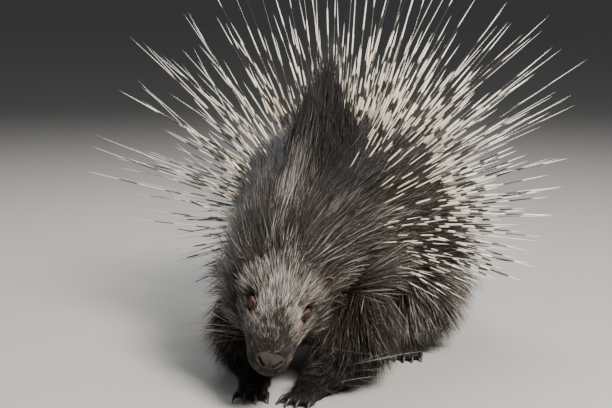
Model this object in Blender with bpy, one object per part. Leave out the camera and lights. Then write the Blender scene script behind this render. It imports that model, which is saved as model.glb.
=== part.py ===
"""A crested porcupine at life size, feeding with its head down and its quills raised.

Metres, +Z up. The animal faces -Y and its left side is +X. The origin is on the floor, under
the middle of the whole model, quills included.
"""

import math
import random

import bmesh
import bpy
from mathutils import Matrix, Vector
from mathutils.bvhtree import BVHTree

# Sizes that hold for the whole animal
GAP = 0.0003
FLOOR_SINK = 0.0012
RIGHT_AND_LEFT = (("right", -1), ("left", 1))
BACKWARD = Vector((0.0, 1.0, 0.0))

# The trunk, from rump to throat: y, height of the middle, half width, rise over it, drop under it
TRUNK = (
    (0.262, 0.150, 0.022, 0.020, 0.022),
    (0.250, 0.152, 0.056, 0.052, 0.052),
    (0.222, 0.157, 0.092, 0.084, 0.080),
    (0.180, 0.164, 0.114, 0.106, 0.102),
    (0.125, 0.170, 0.125, 0.119, 0.116),
    (0.065, 0.173, 0.123, 0.123, 0.120),
    (0.005, 0.171, 0.109, 0.119, 0.116),
    (-0.055, 0.165, 0.088, 0.107, 0.114),
    (-0.105, 0.156, 0.074, 0.091, 0.094),
    (-0.150, 0.146, 0.060, 0.075, 0.070),
    (-0.185, 0.135, 0.052, 0.062, 0.058),
    (-0.205, 0.128, 0.037, 0.044, 0.048),
)
TRUNK_SIDES = 40
TAIL = (
    (0.240, 0.150, 0.034),
    (0.268, 0.148, 0.031),
    (0.296, 0.145, 0.026),
    (0.322, 0.144, 0.020),
    (0.338, 0.145, 0.012),
)

# The head points down and a little to the animal's left, and is tilted towards that side
HEAD_PIVOT = Vector((-0.001, -0.175, 0.142))
HEAD_PITCH = math.radians(29.0)
HEAD_YAW = math.radians(13.0)
HEAD_ROLL = math.radians(15.0)
SKULL_SIDES = 36

# The skull's flesh, from nape to nose: distance, half width, rise over the axis, drop under it
SKULL = (
    (-0.022, 0.036, 0.036, 0.036),
    (-0.008, 0.045, 0.047, 0.048),
    (0.012, 0.048, 0.053, 0.054),
    (0.036, 0.0465, 0.055, 0.054),
    (0.060, 0.0425, 0.056, 0.049),
    (0.084, 0.0375, 0.053, 0.042),
    (0.106, 0.0310, 0.047, 0.036),
    (0.126, 0.0265, 0.041, 0.032),
    (0.142, 0.0235, 0.034, 0.028),
    (0.152, 0.0205, 0.027, 0.023),
    (0.158, 0.0145, 0.016, 0.013),
)
# Swellings on the head: distance, side, height, then half sizes along, across and up
CHEEK = ((0.042, 0.030, -0.016), (0.034, 0.019, 0.030))
WHISKER_PAD = ((0.126, 0.0125, -0.012), (0.024, 0.0135, 0.016))
BROW = ((0.066, 0.022, 0.040), (0.020, 0.012, 0.008))
NOSE_PAD = ((0.152, 0.0, 0.007), (0.0100, 0.0172, 0.0122))
NOSTRIL = ((0.162, 0.0088, 0.007), (0.0078, 0.0022, 0.0048))
NOSTRIL_TILT = math.radians(35.0)

# The lower jaw: distance, height of its middle, half width, rise, drop
JAW = (
    (0.044, -0.038, 0.016, 0.014, 0.012),
    (0.058, -0.041, 0.027, 0.018, 0.018),
    (0.082, -0.040, 0.026, 0.018, 0.017),
    (0.106, -0.036, 0.022, 0.016, 0.014),
    (0.126, -0.032, 0.016, 0.012, 0.011),
    (0.136, -0.029, 0.009, 0.007, 0.007),
)
JAW_SIDES = 20

EYE_AT = (0.084, 0.0310, 0.027)
EYE_R = 0.0066
EYE_TURN = math.radians(-30.0)
LID_R = 0.0085
LID_OPENING = (0.0082, 0.0078, 0.0052)
LID_OPENS_AT = 0.95

EAR_AT = (0.022, 0.0460, 0.014)
EAR_SIZE = (0.0060, 0.0130, 0.0190)
EAR_CUP = (0.0050, 0.0100, 0.0150)
EAR_TILT = math.radians(28.0)
EAR_LIFT = 0.0060
EAR_CUP_AT = (0.0050, 0.0, 0.0090)

# Limbs of the left side, as chains of (centre, radius); the right side mirrors them, but the right
# elbow is tucked in
FORE_CHAIN = (
    ((0.046, -0.066, 0.138), 0.045),
    ((0.060, -0.096, 0.098), 0.043),
    ((0.069, -0.124, 0.062), 0.038),
    ((0.071, -0.150, 0.041), 0.031),
    ((0.063, -0.174, 0.030), 0.0245),
    ((0.051, -0.191, 0.024), 0.0205),
)
FORE_SHIFT = 0.014
RIGHT_TUCK = 0.009
FORE_PALM = ((0.038, -0.213, 0.0155), (0.0210, 0.0270, 0.0150))
FORE_TURN = math.radians(-14.0)
HIND_CHAIN = (
    ((0.066, 0.145, 0.140), 0.074),
    ((0.084, 0.095, 0.110), 0.066),
    ((0.102, 0.050, 0.078), 0.048),
    ((0.106, 0.052, 0.050), 0.036),
    ((0.105, 0.076, 0.034), 0.028),
    ((0.104, 0.092, 0.023), 0.022),
)
HIND_SOLE = ((0.105, 0.046, 0.0150), (0.0225, 0.0500, 0.0155))
HIND_TURN = math.radians(9.0)
LIMB_SIDES = 20

# Toes: count, spread of their roots, fan between neighbours, half sizes; claws: length, radius
FORE_TOES = (4, 0.0102, math.radians(9.0), (0.0058, 0.0150, 0.0064))
HIND_TOES = (5, 0.0088, math.radians(6.0), (0.0052, 0.0150, 0.0058))
FORE_CLAW = (0.0170, 0.0030)
HIND_CLAW = (0.0150, 0.0032)
TOE_RISE = 0.0080
CLAW_RISE = 0.0092
# Shares: the sole's front edge, how far back a toe's root lies, its middle, where its claw starts
FRONT_EDGE = 1.25
TOE_BACK = 0.80
TOE_MIDDLE = 0.55
CLAW_START = 1.18
CLAW_NARROW = 0.8
CLAW_BEND = math.radians(30.0)
CLAW_TAPER = ((0.0, 1.0), (0.5, 0.8), (1.0, 0.14))
CLAW_SIDES = 4

# Where the flesh is parted: centre of the cut, the way it faces, its radius
HEAD_CUT = ((0.012, 0.0, 0.0), math.radians(12.0), 0.085)
NECK_CUT = ((0.0, -0.152, 0.147), (0.0, -1.0, 0.0), 0.088)
SHOULDER_CUT = ((0.0, -0.012, 0.170), (0.0, -1.0, 0.0), 0.240)
TAIL_CUT = ((0.0, 0.274, 0.148), (0.0, 1.0, 0.0), 0.055)
ELBOW_CUT = ((0.0700, -0.137, 0.052), (0.04, -0.78, -0.63), 0.041)
WRIST_CUT = ((0.0570, -0.1825, 0.0270), (-0.555, -0.786, -0.278), 0.034)
KNEE_CUT = ((0.108, 0.062, 0.072), (0.447, 0.0, -0.894), 0.088)
ANKLE_CUT = ((0.105, 0.062, 0.0320), (0.0, 0.15, -0.99), 0.064)

# Quills of the shoulders, back and rump: first and last row, distance between rows, between roots
# in a row, reach down the sides, how deep a root sits, and the share of the length where a quill
# is thickest. The rows before the back's own leave the crest's strip free.
QUILL_ROWS = (-0.082, 0.252)
BACK_STARTS = 0.004
CREST_STRIP = math.radians(38.0)
ROW_STEP = 0.0230
ROOT_STEP = 0.0300
QUILL_REACH = math.radians(112.0)
QUILL_SINK = 0.0060
LEAST_RISE = 0.50
QUILL_BELLY = 0.30
QUILL_SIDES = 3
QUILL_ROOT = 0.75
TRUNK_LEAST = 0.055
# From the shoulders to the end of the back: y, length, radius and lean to the rear
QUILL_PLAN = (
    (-0.085, 0.185, 0.0015, math.radians(12.0)),
    (-0.050, 0.262, 0.0015, math.radians(8.0)),
    (-0.015, 0.302, 0.0015, math.radians(4.0)),
    (0.005, 0.318, 0.0015, math.radians(3.0)),
    (0.060, 0.330, 0.0017, math.radians(12.0)),
    (0.130, 0.300, 0.0020, math.radians(28.0)),
    (0.190, 0.210, 0.0026, math.radians(46.0)),
    (0.255, 0.140, 0.0030, math.radians(66.0)),
)
# From the right side over the top of the back to the left one: angle, share of the length. The
# animal spreads its right side wider.
QUILL_FALL = (
    (-112.0, 0.42),
    (-100.0, 0.62),
    (-85.0, 0.88),
    (-72.0, 0.96),
    (-50.0, 0.92),
    (-28.0, 0.92),
    (0.0, 1.0),
    (40.0, 0.89),
    (62.0, 0.82),
    (80.0, 0.60),
    (112.0, 0.38),
)
QUILL_SPLAY = 1.06
# How much each one may differ: place in its row, share of the length and radius, and angles
QUILL_STRAY = (0.25, 0.20)
QUILL_LENGTHS = (0.86, 1.04)
QUILL_RADII = (0.90, 1.10)
QUILL_TILTS = (0.07, 0.05)

# The rattle: short thick quills at the tail's end, in a spiral: count, length, radius
RATTLE = (14, 0.055, 0.0034)
RATTLE_AT = (0.0, 0.292, 0.146)
RATTLE_TURNS = 2.4
RATTLE_CONE = (math.radians(8.0), math.radians(42.0))
RATTLE_RING = 0.020
RATTLE_ROOT = 0.030
RATTLE_LENGTHS = (0.80, 1.10)

# The crest stands on the crown, the nape and the shoulders. Its rows on the head: distance, length
# and lean to the rear; and on the trunk: y, length and lean
CROWN_ROWS = (
    (0.052, 0.048, math.radians(40.0)),
    (0.038, 0.068, math.radians(34.0)),
    (0.024, 0.090, math.radians(30.0)),
)
CREST_ROWS = 10
CREST_PLAN = (
    (-0.178, 0.100, math.radians(30.0)),
    (-0.120, 0.130, math.radians(22.0)),
    (-0.070, 0.152, math.radians(12.0)),
    (-0.024, 0.158, math.radians(4.0)),
)
CREST_IN_ROW = (4, 5)
CREST_SPREAD = math.radians(24.0)
CREST_DRAWN_IN = 0.30
CREST_DROP = 0.55
CREST_LENGTHS = (0.85, 1.05)
CREST_STRAY = 0.05
CREST_SINK = 0.007
# Along a lock of the crest: share of its length, and how far it bends back there
CREST_BENDS = ((0.36, 0.0), (0.72, 0.035), (1.0, 0.10))

# The bristly coat: flat locks over the neck, the shoulders, the flanks and the thighs
COAT_HOMES = ("neck", "torso_front", "torso_rear")
COAT_LENGTHS = (0.064, 0.084)
COAT_SHARES = (0.0, 0.20, 0.62, 1.0)
COAT_LIFTS = (-0.0055, 0.0036, 0.0105, 0.0175)
COAT_RISES = (1.0, 1.3, 1.7)
COAT_STEP = 0.045
COAT_FLOW = Vector((0.0, 1.0, -0.42))
COAT_STRAIGHT = 0.60
LEAST_FLOW = 0.20
# Where it grows: not on cut faces, from that many degrees off the top, and above that height
CUT_FACE = 0.97
COAT_ROUND = (0.0, 0.0, 0.150)
REAR_COAT = (104.0, 0.050)
FORE_COAT = (40.0, 0.060)
# Locks are flat and four-sided: half width and half thickness, and the width along them
LOCK_SIDES = 4
COAT_LOCK = (0.0155, 0.0022)
CREST_LOCK = (0.0050, 0.0016)
LOCK_WIDTHS = (0.75, 1.0, 0.62)
SEED = 11
TRIES = 4

# How finely the flesh is meshed before it is parted
VOXEL = 0.0050
SMOOTH_ROUNDS = 16
FLESH_TRIANGLES = 3100
SHARP_EDGE = math.radians(50.0)

# Finishes: colour and roughness
BRISTLY_HIDE = ((0.10, 0.085, 0.07), 0.8)
BARE_SKIN = ((0.16, 0.11, 0.09), 0.6)
EYE_GLASS = ((0.01, 0.008, 0.007), 0.1)


def clear_scene():
    for obj in list(bpy.data.objects):
        bpy.data.objects.remove(obj)


def material(name, colour, roughness):
    made = bpy.data.materials.new(name)
    made.use_nodes = True
    shader = made.node_tree.nodes["Principled BSDF"]
    shader.inputs["Base Color"].default_value = (*colour, 1.0)
    shader.inputs["Roughness"].default_value = roughness
    shader.inputs["Metallic"].default_value = 0.0
    return made


def object_of(mesh_data, name):
    obj = bpy.data.objects.new(name, mesh_data)
    bpy.context.scene.collection.objects.link(obj)
    return obj


def object_from(bm, name):
    """An object from a bmesh, with its faces turned outwards."""
    bmesh.ops.recalc_face_normals(bm, faces=bm.faces)
    if bm.calc_volume(signed=True) < 0:
        bmesh.ops.reverse_faces(bm, faces=bm.faces)
    mesh_data = bpy.data.meshes.new(name)
    bm.to_mesh(mesh_data)
    bm.free()
    return object_of(mesh_data, name)


def join_meshes(pieces, name):
    """One object that holds all the pieces' faces, still as separate bodies."""
    bm = bmesh.new()
    for piece in pieces:
        start = len(bm.verts)
        bm.from_mesh(piece.data)
        bm.verts.ensure_lookup_table()
        for vert in bm.verts[start:]:
            vert.co = piece.matrix_world @ vert.co
        bpy.data.objects.remove(piece)
    mesh_data = bpy.data.meshes.new(name)
    bm.to_mesh(mesh_data)
    bm.free()
    return object_of(mesh_data, name)


def apply_modifiers(obj):
    graph = bpy.context.evaluated_depsgraph_get()
    graph.update()
    done = bpy.data.meshes.new_from_object(obj.evaluated_get(graph))
    obj.modifiers.clear()
    obj.data = done
    return obj


def head_matrix():
    """From (distance, side, height) on the head to the model's axes."""
    forward = Vector(
        (
            math.sin(HEAD_YAW) * math.cos(HEAD_PITCH),
            -math.cos(HEAD_YAW) * math.cos(HEAD_PITCH),
            -math.sin(HEAD_PITCH),
        )
    )
    level = Vector((math.cos(HEAD_YAW), math.sin(HEAD_YAW), 0.0))
    side = level * math.cos(HEAD_ROLL) - level.cross(-forward) * math.sin(HEAD_ROLL)
    up = side.cross(-forward)
    turn = Matrix((forward, side, up)).transposed().to_4x4()
    return Matrix.Translation(HEAD_PIVOT) @ turn


def ring(centre, side, up, half_width, rise, drop, sides):
    points = []
    for i in range(sides):
        angle = 2 * math.pi * i / sides
        height = rise if math.sin(angle) > 0 else drop
        points.append(
            centre + side * (half_width * math.cos(angle)) + up * (height * math.sin(angle))
        )
    return points


def skin_rings(rings, name):
    """A closed body through rings of like count, with a fan at each end."""
    bm = bmesh.new()
    rows = [[bm.verts.new(point) for point in row] for row in rings]
    count = len(rows[0])
    for near, far in zip(rows, rows[1:]):
        for i in range(count):
            j = (i + 1) % count
            bm.faces.new((near[i], near[j], far[j], far[i]))
    for row in (rows[0], rows[-1]):
        middle = bm.verts.new(sum((vert.co for vert in row), Vector()) / count)
        for i in range(count):
            bm.faces.new((row[i], row[(i + 1) % count], middle))
    return object_from(bm, name)


def tangents(centres):
    last = len(centres) - 1
    return [
        (centres[min(i + 1, last)] - centres[max(i - 1, 0)]).normalized()
        for i in range(len(centres))
    ]


def limb(chain, name, sides=LIMB_SIDES):
    """A round tube through (centre, radius) pairs, closed with a dome at each end."""
    centres = [Vector(centre) for centre, _ in chain]
    radii = [radius for _, radius in chain]
    ways = tangents(centres)
    rows = []
    steps = list(zip(centres, radii, ways))
    first, last = steps[0], steps[-1]
    domes = ((0.90, 0.42), (0.60, 0.80))
    for across, along in reversed(domes):
        rows.append((first[0] - first[2] * (first[1] * along), first[1] * across, first[2]))
    rows.extend(steps)
    for across, along in domes:
        rows.append((last[0] + last[2] * (last[1] * along), last[1] * across, last[2]))
    rings = []
    side = Vector((1.0, 0.0, 0.0))
    for centre, radius, way in rows:
        up = side.cross(way).normalized()
        side = way.cross(up).normalized()
        rings.append(ring(centre, side, up, radius, radius, radius, sides))
    return skin_rings(rings, name)


def lump(centre, half_sizes, name, turn=None, segments=20, rows=12):
    """An ellipsoid; turn is a matrix that places its own axes."""
    bm = bmesh.new()
    bmesh.ops.create_uvsphere(bm, u_segments=segments, v_segments=rows, radius=1.0)
    frame = turn if turn is not None else Matrix.Identity(4)
    place = frame @ Matrix.Translation(Vector(centre)) @ Matrix.Diagonal((*half_sizes, 1.0))
    bm.transform(place)
    return object_from(bm, name)


def trunk():
    side = Vector((1.0, 0.0, 0.0))
    centres = [Vector((0.0, y, z)) for y, z, *_ in TRUNK]
    rings = []
    for centre, way, row in zip(centres, tangents(centres), TRUNK):
        up = way.cross(side).normalized()
        if up.z < 0:
            up = -up
        rings.append(ring(centre, side, up, row[2], row[3], row[4], TRUNK_SIDES))
    return skin_rings(rings, "trunk")


def on_head(point, side_sign=1):
    distance, side, height = point
    return head_matrix() @ Vector((distance, side * side_sign, height))


def skull():
    frame = head_matrix()
    side, up = frame.col[1].to_3d(), frame.col[2].to_3d()
    rings = [
        ring(on_head((distance, 0.0, 0.0)), side, up, width, rise, drop, SKULL_SIDES)
        for distance, width, rise, drop in SKULL
    ]
    return skin_rings(rings, "skull")


def head_lumps():
    """The cheeks, whisker pads, brows and nose pad, as ellipsoids sunk in the skull."""
    frame = head_matrix()
    pieces = [lump(NOSE_PAD[0], NOSE_PAD[1], "nose_pad", frame)]
    for name, sign in RIGHT_AND_LEFT:
        for label, (centre, half_sizes) in (
            ("cheek", CHEEK),
            ("whisker_pad", WHISKER_PAD),
            ("brow", BROW),
        ):
            placed = (centre[0], centre[1] * sign, centre[2])
            pieces.append(lump(placed, half_sizes, f"{label}_{name}", frame))
    return pieces


def fore_place(point, sign):
    """A point of a foreleg: mirrored, and moved to the left as it nears the paw.

    The right elbow is held in under the chest as well.
    """
    x, y, z = point
    start, end = FORE_CHAIN[0][0][1], FORE_PALM[0][1]
    share = min(1.0, max(0.0, (y - start) / (end - start)))
    tuck = RIGHT_TUCK * math.sin(math.pi * share) if sign < 0 else 0.0
    return (sign * x + FORE_SHIFT * share + tuck, y, z)


def hind_place(point, sign):
    x, y, z = point
    return (sign * x, y, z)


def foot_frame(sole, place, turn, sign):
    """Places a foot's own axes: +Y back to the heel, turned out by the angle."""
    centre = Vector(place(sole[0], sign))
    return Matrix.Translation(centre) @ Matrix.Rotation(turn * sign, 4, "Z")


def limbs():
    pieces = []
    for name, sign in RIGHT_AND_LEFT:
        fore = [(fore_place(centre, sign), radius) for centre, radius in FORE_CHAIN]
        hind = [(hind_place(centre, sign), radius) for centre, radius in HIND_CHAIN]
        pieces.append(limb(fore, f"foreleg_{name}"))
        pieces.append(limb(hind, f"hindleg_{name}"))
        palm = foot_frame(FORE_PALM, fore_place, FORE_TURN, sign)
        pieces.append(lump((0, 0, 0), FORE_PALM[1], f"palm_{name}", palm))
        sole = foot_frame(HIND_SOLE, hind_place, HIND_TURN, sign)
        pieces.append(lump((0, 0, 0), HIND_SOLE[1], f"sole_{name}", sole))
    return pieces


def tail_root():
    return limb([((0.0, y, z), radius) for y, z, radius in TAIL], "tail")


def flesh():
    """The whole body as one smooth closed surface, with nothing on it yet."""
    body = join_meshes([trunk(), skull(), *head_lumps(), *limbs(), tail_root()], "flesh")
    remesh = body.modifiers.new("even", "REMESH")
    remesh.mode = "VOXEL"
    remesh.voxel_size = VOXEL
    smooth = body.modifiers.new("soft", "SMOOTH")
    smooth.factor = 0.5
    smooth.iterations = SMOOTH_ROUNDS
    apply_modifiers(body)
    triangles = 2 * len(body.data.polygons)
    fewer = body.modifiers.new("fewer", "DECIMATE")
    fewer.ratio = FLESH_TRIANGLES / triangles
    return apply_modifiers(body)


def part_pieces(obj):
    """Splits an object into one object for each closed surface in it."""
    bm = bmesh.new()
    bm.from_mesh(obj.data)
    bm.faces.ensure_lookup_table()
    seen = [False] * len(bm.faces)
    made = []
    for first in bm.faces:
        if seen[first.index]:
            continue
        seen[first.index] = True
        island = [first]
        for face in island:
            for edge in face.edges:
                for near in edge.link_faces:
                    if not seen[near.index]:
                        seen[near.index] = True
                        island.append(near)
        points, places, faces = [], {}, []
        for face in island:
            for vert in face.verts:
                if vert.index not in places:
                    places[vert.index] = len(points)
                    points.append(vert.co.copy())
            faces.append([places[vert.index] for vert in face.verts])
        mesh_data = bpy.data.meshes.new("piece")
        mesh_data.from_pydata(points, [], faces)
        made.append(object_of(mesh_data, "piece"))
    bm.free()
    bpy.data.objects.remove(obj)
    return made


def volume(obj):
    bm = bmesh.new()
    bm.from_mesh(obj.data)
    amount = bm.calc_volume(signed=True)
    bm.free()
    return amount


def keep_largest(obj, name, finish):
    """The largest closed surface of an object, named and given its material."""
    pieces = sorted(part_pieces(obj), key=volume)
    for piece in pieces[:-1]:
        bpy.data.objects.remove(piece)
    kept = pieces[-1]
    kept.name = name
    kept.data.name = name
    kept.data.materials.clear()
    kept.data.materials.append(finish)
    kept.data.shade_smooth()
    kept.data.set_sharp_from_angle(angle=SHARP_EDGE)
    return kept


def boolean(obj, others, operation):
    """Applies one Boolean of a collection of closed objects, which are then removed.

    The exact solver leaves open edges where thin quills and locks leave the skin, so this
    takes the manifold one.
    """
    helpers = bpy.data.collections.new("helpers")
    for other in others:
        for home in list(other.users_collection):
            home.objects.unlink(other)
        helpers.objects.link(other)
    bpy.context.scene.collection.children.link(helpers)
    modifier = obj.modifiers.new("join", "BOOLEAN")
    modifier.operation = operation
    modifier.operand_type = "COLLECTION"
    modifier.collection = helpers
    modifier.solver = "MANIFOLD"
    apply_modifiers(obj)
    for other in list(helpers.objects):
        bpy.data.objects.remove(other)
    bpy.data.collections.remove(helpers)
    return obj


def plate(centre, way, radius):
    """A thin round cutter that leaves a gap between the two parts that it divides."""
    bm = bmesh.new()
    bmesh.ops.create_cone(
        bm, cap_ends=True, segments=24, radius1=radius, radius2=radius, depth=GAP
    )
    turn = Vector(way).to_track_quat("Z", "Y").to_matrix().to_4x4()
    bm.transform(Matrix.Translation(Vector(centre)) @ turn)
    return object_from(bm, "plate")


def block(low, high, name):
    bm = bmesh.new()
    bmesh.ops.create_cube(bm, size=1.0)
    size = Vector(high) - Vector(low)
    middle = (Vector(high) + Vector(low)) / 2
    bm.transform(Matrix.Translation(middle) @ Matrix.Diagonal((*size, 1.0)))
    return object_from(bm, name)


def grown(obj, by, name):
    """A copy whose surface lies further out by that much."""
    bm = bmesh.new()
    bm.from_mesh(obj.data)
    bm.normal_update()
    shifted = [vert.co + vert.normal * by for vert in bm.verts]
    for vert, place in zip(bm.verts, shifted):
        vert.co = place
    return object_from(bm, name)


def middle_of(obj):
    corners = [Vector(corner) for corner in obj.bound_box]
    return sum(corners, Vector()) / 8


def cut_off(body, centre, way, radius):
    """Parts a body at a thin plate: returns the piece that the plate faces, and the rest."""
    boolean(body, [plate(centre, way, radius)], "DIFFERENCE")
    pieces = part_pieces(body)
    if len(pieces) != 2:
        raise ValueError(f"the cut at {tuple(centre)} makes {len(pieces)} pieces")
    pieces.sort(key=lambda piece: (middle_of(piece) - Vector(centre)).dot(Vector(way)))
    return pieces[1], pieces[0]


def mirrored_cut(cut, place, sign):
    centre, way, radius = cut
    return place(centre, sign), (way[0] * sign, way[1], way[2]), radius


def head_cut():
    """The cut behind the cheeks, a little nearer to upright than the head's own axis."""
    pitch = HEAD_PITCH - HEAD_CUT[1]
    way = (
        math.sin(HEAD_YAW) * math.cos(pitch),
        -math.cos(HEAD_YAW) * math.cos(pitch),
        -math.sin(pitch),
    )
    return on_head(HEAD_CUT[0]), way, HEAD_CUT[2]


def parted_flesh():
    """The flesh in named parts: the legs are cut off first, then the trunk is divided."""
    parts = {}
    body = flesh()
    for name, sign in RIGHT_AND_LEFT:
        foreleg, body = cut_off(body, *mirrored_cut(ELBOW_CUT, fore_place, sign))
        hindleg, body = cut_off(body, *mirrored_cut(KNEE_CUT, hind_place, sign))
        wrist, ankle = (
            mirrored_cut(WRIST_CUT, fore_place, sign),
            mirrored_cut(ANKLE_CUT, hind_place, sign),
        )
        parts[f"forefoot_{name}"], parts[f"foreleg_{name}"] = cut_off(foreleg, *wrist)
        parts[f"hindfoot_{name}"], parts[f"hindleg_{name}"] = cut_off(hindleg, *ankle)
    parts["tail"], body = cut_off(body, *TAIL_CUT)
    front, parts["torso_rear"] = cut_off(body, *SHOULDER_CUT)
    front, parts["torso_front"] = cut_off(front, *NECK_CUT)
    parts["head"], parts["neck"] = cut_off(front, *head_cut())
    return parts


def claw(root, way, length, radius):
    """A claw that curves down from the toe's end."""
    way = Vector(way).normalized()
    side = way.cross(Vector((0.0, 0.0, 1.0))).normalized()
    rings = []
    for share, thick in CLAW_TAPER:
        bend = CLAW_BEND * share
        heading = way * math.cos(bend) - Vector((0.0, 0.0, 1.0)) * math.sin(bend)
        at = root + heading * (length * share)
        up = side.cross(heading).normalized()
        tall = radius * thick
        rings.append(ring(at, side, up, tall * CLAW_NARROW, tall, tall, CLAW_SIDES))
    return skin_rings(rings, "claw")


def toes(sole, place, turn, sign, plan, claw_size):
    """The toes and claws of one foot, in a fan from the front edge of the sole."""
    count, spread, fan, half_sizes = plan
    frame = foot_frame(sole, place, turn, sign)
    reach = sole[1][1]
    pieces = []
    for i in range(count):
        step = i - (count - 1) / 2
        angle = -step * fan
        edge = math.sqrt(max(0.0, 1 - (step * spread / (sole[1][0] * FRONT_EDGE)) ** 2))
        base = Vector((step * spread, -reach * TOE_BACK * edge, 0.0))
        base.z = TOE_RISE - sole[0][2]
        toe_frame = frame @ Matrix.Translation(base) @ Matrix.Rotation(-angle, 4, "Z")
        middle = (0, -half_sizes[1] * TOE_MIDDLE, 0)
        pieces.append(lump(middle, half_sizes, "toe", toe_frame, 6, 4))
        way = toe_frame.to_3x3() @ Vector((0.0, -1.0, 0.0))
        root = toe_frame @ Vector((0.0, -half_sizes[1] * CLAW_START, CLAW_RISE - TOE_RISE))
        pieces.append(claw(root, way, *claw_size))
    return pieces


def add_feet(parts):
    for name, sign in RIGHT_AND_LEFT:
        fore, hind = parts[f"forefoot_{name}"], parts[f"hindfoot_{name}"]
        fore_toes = toes(FORE_PALM, fore_place, FORE_TURN, sign, FORE_TOES, FORE_CLAW)
        hind_toes = toes(HIND_SOLE, hind_place, HIND_TURN, sign, HIND_TOES, HIND_CLAW)
        boolean(fore, fore_toes, "UNION")
        boolean(hind, hind_toes, "UNION")
        for foot in (fore, hind):
            boolean(foot, [block((-1, -1, -1), (1, 1, FLOOR_SINK), "floor")], "DIFFERENCE")


def eye_frame(sign):
    """The eye's own axes: X along the head, Y out of the head, Z up."""
    centre = on_head(EYE_AT, sign)
    turn = head_matrix().to_3x3() @ Matrix.Rotation(EYE_TURN * sign, 3, "Z")
    return Matrix.Translation(centre) @ turn.to_4x4()


def add_face(parts):
    """Lids round the eyes, the eyes, nostrils, the jaw and the ears."""
    head = parts["head"]
    lids = []
    for _, sign in RIGHT_AND_LEFT:
        lids.append(lump((0, 0, 0), (LID_R,) * 3, "lid", eye_frame(sign), 14, 9))
    boolean(head, lids, "UNION")
    cuts = []
    for _, sign in RIGHT_AND_LEFT:
        frame = eye_frame(sign)
        cuts.append(lump((0, 0, 0), (EYE_R + GAP,) * 3, "socket", frame, 12, 8))
        opening = lump((0, sign * LID_R * LID_OPENS_AT, 0), LID_OPENING, "opening", frame, 10, 7)
        cuts.append(opening)
        spot, half_sizes = NOSTRIL
        turn = (
            head_matrix()
            @ Matrix.Translation(Vector((spot[0], spot[1] * sign, spot[2])))
            @ Matrix.Rotation(NOSTRIL_TILT * sign, 4, "X")
        )
        cuts.append(lump((0, 0, 0), half_sizes, "nostril", turn, 8, 6))
    boolean(head, cuts, "DIFFERENCE")
    for name, sign in RIGHT_AND_LEFT:
        parts[f"eye_{name}"] = lump((0, 0, 0), (EYE_R,) * 3, "eye", eye_frame(sign), 12, 8)

    frame = head_matrix()
    side, up = frame.col[1].to_3d(), frame.col[2].to_3d()
    rings = [
        ring(on_head((distance, 0.0, height)), side, up, width, rise, drop, JAW_SIDES)
        for distance, height, width, rise, drop in JAW
    ]
    jaw = skin_rings(rings, "jaw")
    boolean(jaw, [grown(head, GAP, "head_room")], "DIFFERENCE")
    parts["jaw"] = jaw
    for name, sign in RIGHT_AND_LEFT:
        spot = Vector((EAR_AT[0], EAR_AT[1] * sign, EAR_AT[2]))
        tilt = Matrix.Rotation(EAR_TILT * sign, 4, "Z") @ Matrix.Rotation(-EAR_TILT * sign, 4, "X")
        ear_frame = frame @ Matrix.Translation(spot) @ tilt
        ear = lump((0, 0, EAR_LIFT), EAR_SIZE, "ear", ear_frame, 14, 8)
        cup = lump(EAR_CUP_AT, EAR_CUP, "cup", ear_frame, 12, 8)
        boolean(ear, [cup, grown(head, GAP, "head_room")], "DIFFERENCE")
        parts[f"ear_{name}"] = ear


def between(table, at, column):
    """Reads a column of a table by its first column, straight between the rows."""
    if at <= table[0][0]:
        return table[0][column]
    for low, high in zip(table, table[1:]):
        if at <= high[0]:
            share = (at - low[0]) / (high[0] - low[0])
            return low[column] + (high[column] - low[column]) * share
    return table[-1][column]


def surface_of(obj):
    bm = bmesh.new()
    bm.from_mesh(obj.data)
    bmesh.ops.triangulate(bm, faces=bm.faces)
    tree = BVHTree.FromBMesh(bm)
    bm.free()
    return tree


def tube_mesh(rings, name):
    """A closed body through rings, ending in a point; its root end is flat."""
    bm = bmesh.new()
    rows = [[bm.verts.new(point) for point in row] for row in rings[:-1]]
    tip = bm.verts.new(rings[-1])
    for near, far in zip(rows, rows[1:]):
        for i in range(len(near)):
            j = (i + 1) % len(near)
            bm.faces.new((near[i], near[j], far[j], far[i]))
    for i in range(len(rows[-1])):
        bm.faces.new((rows[-1][i], rows[-1][(i + 1) % len(rows[-1])], tip))
    bm.faces.new(list(reversed(rows[0])))
    bmesh.ops.triangulate(bm, faces=bm.faces)
    return object_from(bm, name)


def quill(root, way, length, radius):
    """A straight quill: thinner at the root, thickest low down, drawn to a point."""
    side = way.orthogonal().normalized()
    up = way.cross(side)
    thin = radius * QUILL_ROOT
    rings = [
        ring(root, side, up, thin, thin, thin, QUILL_SIDES),
        ring(root + way * (length * QUILL_BELLY), side, up, radius, radius, radius, QUILL_SIDES),
        root + way * length,
    ]
    return tube_mesh(rings, "quill")


def lock(centres, flat, half_sizes):
    """A flat lock through four centres, widest low down; flat is its thin side's way."""
    half_width, half_thick = half_sizes
    rings = []
    for i, share in enumerate(LOCK_WIDTHS):
        way = (centres[i + 1] - centres[i]).normalized()
        side = way.cross(flat[i]).normalized()
        up = side.cross(way).normalized()
        width = half_width * share
        rings.append(ring(centres[i], side, up, width, half_thick, half_thick, LOCK_SIDES))
    rings.append(centres[-1])
    return tube_mesh(rings, "lock")


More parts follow.
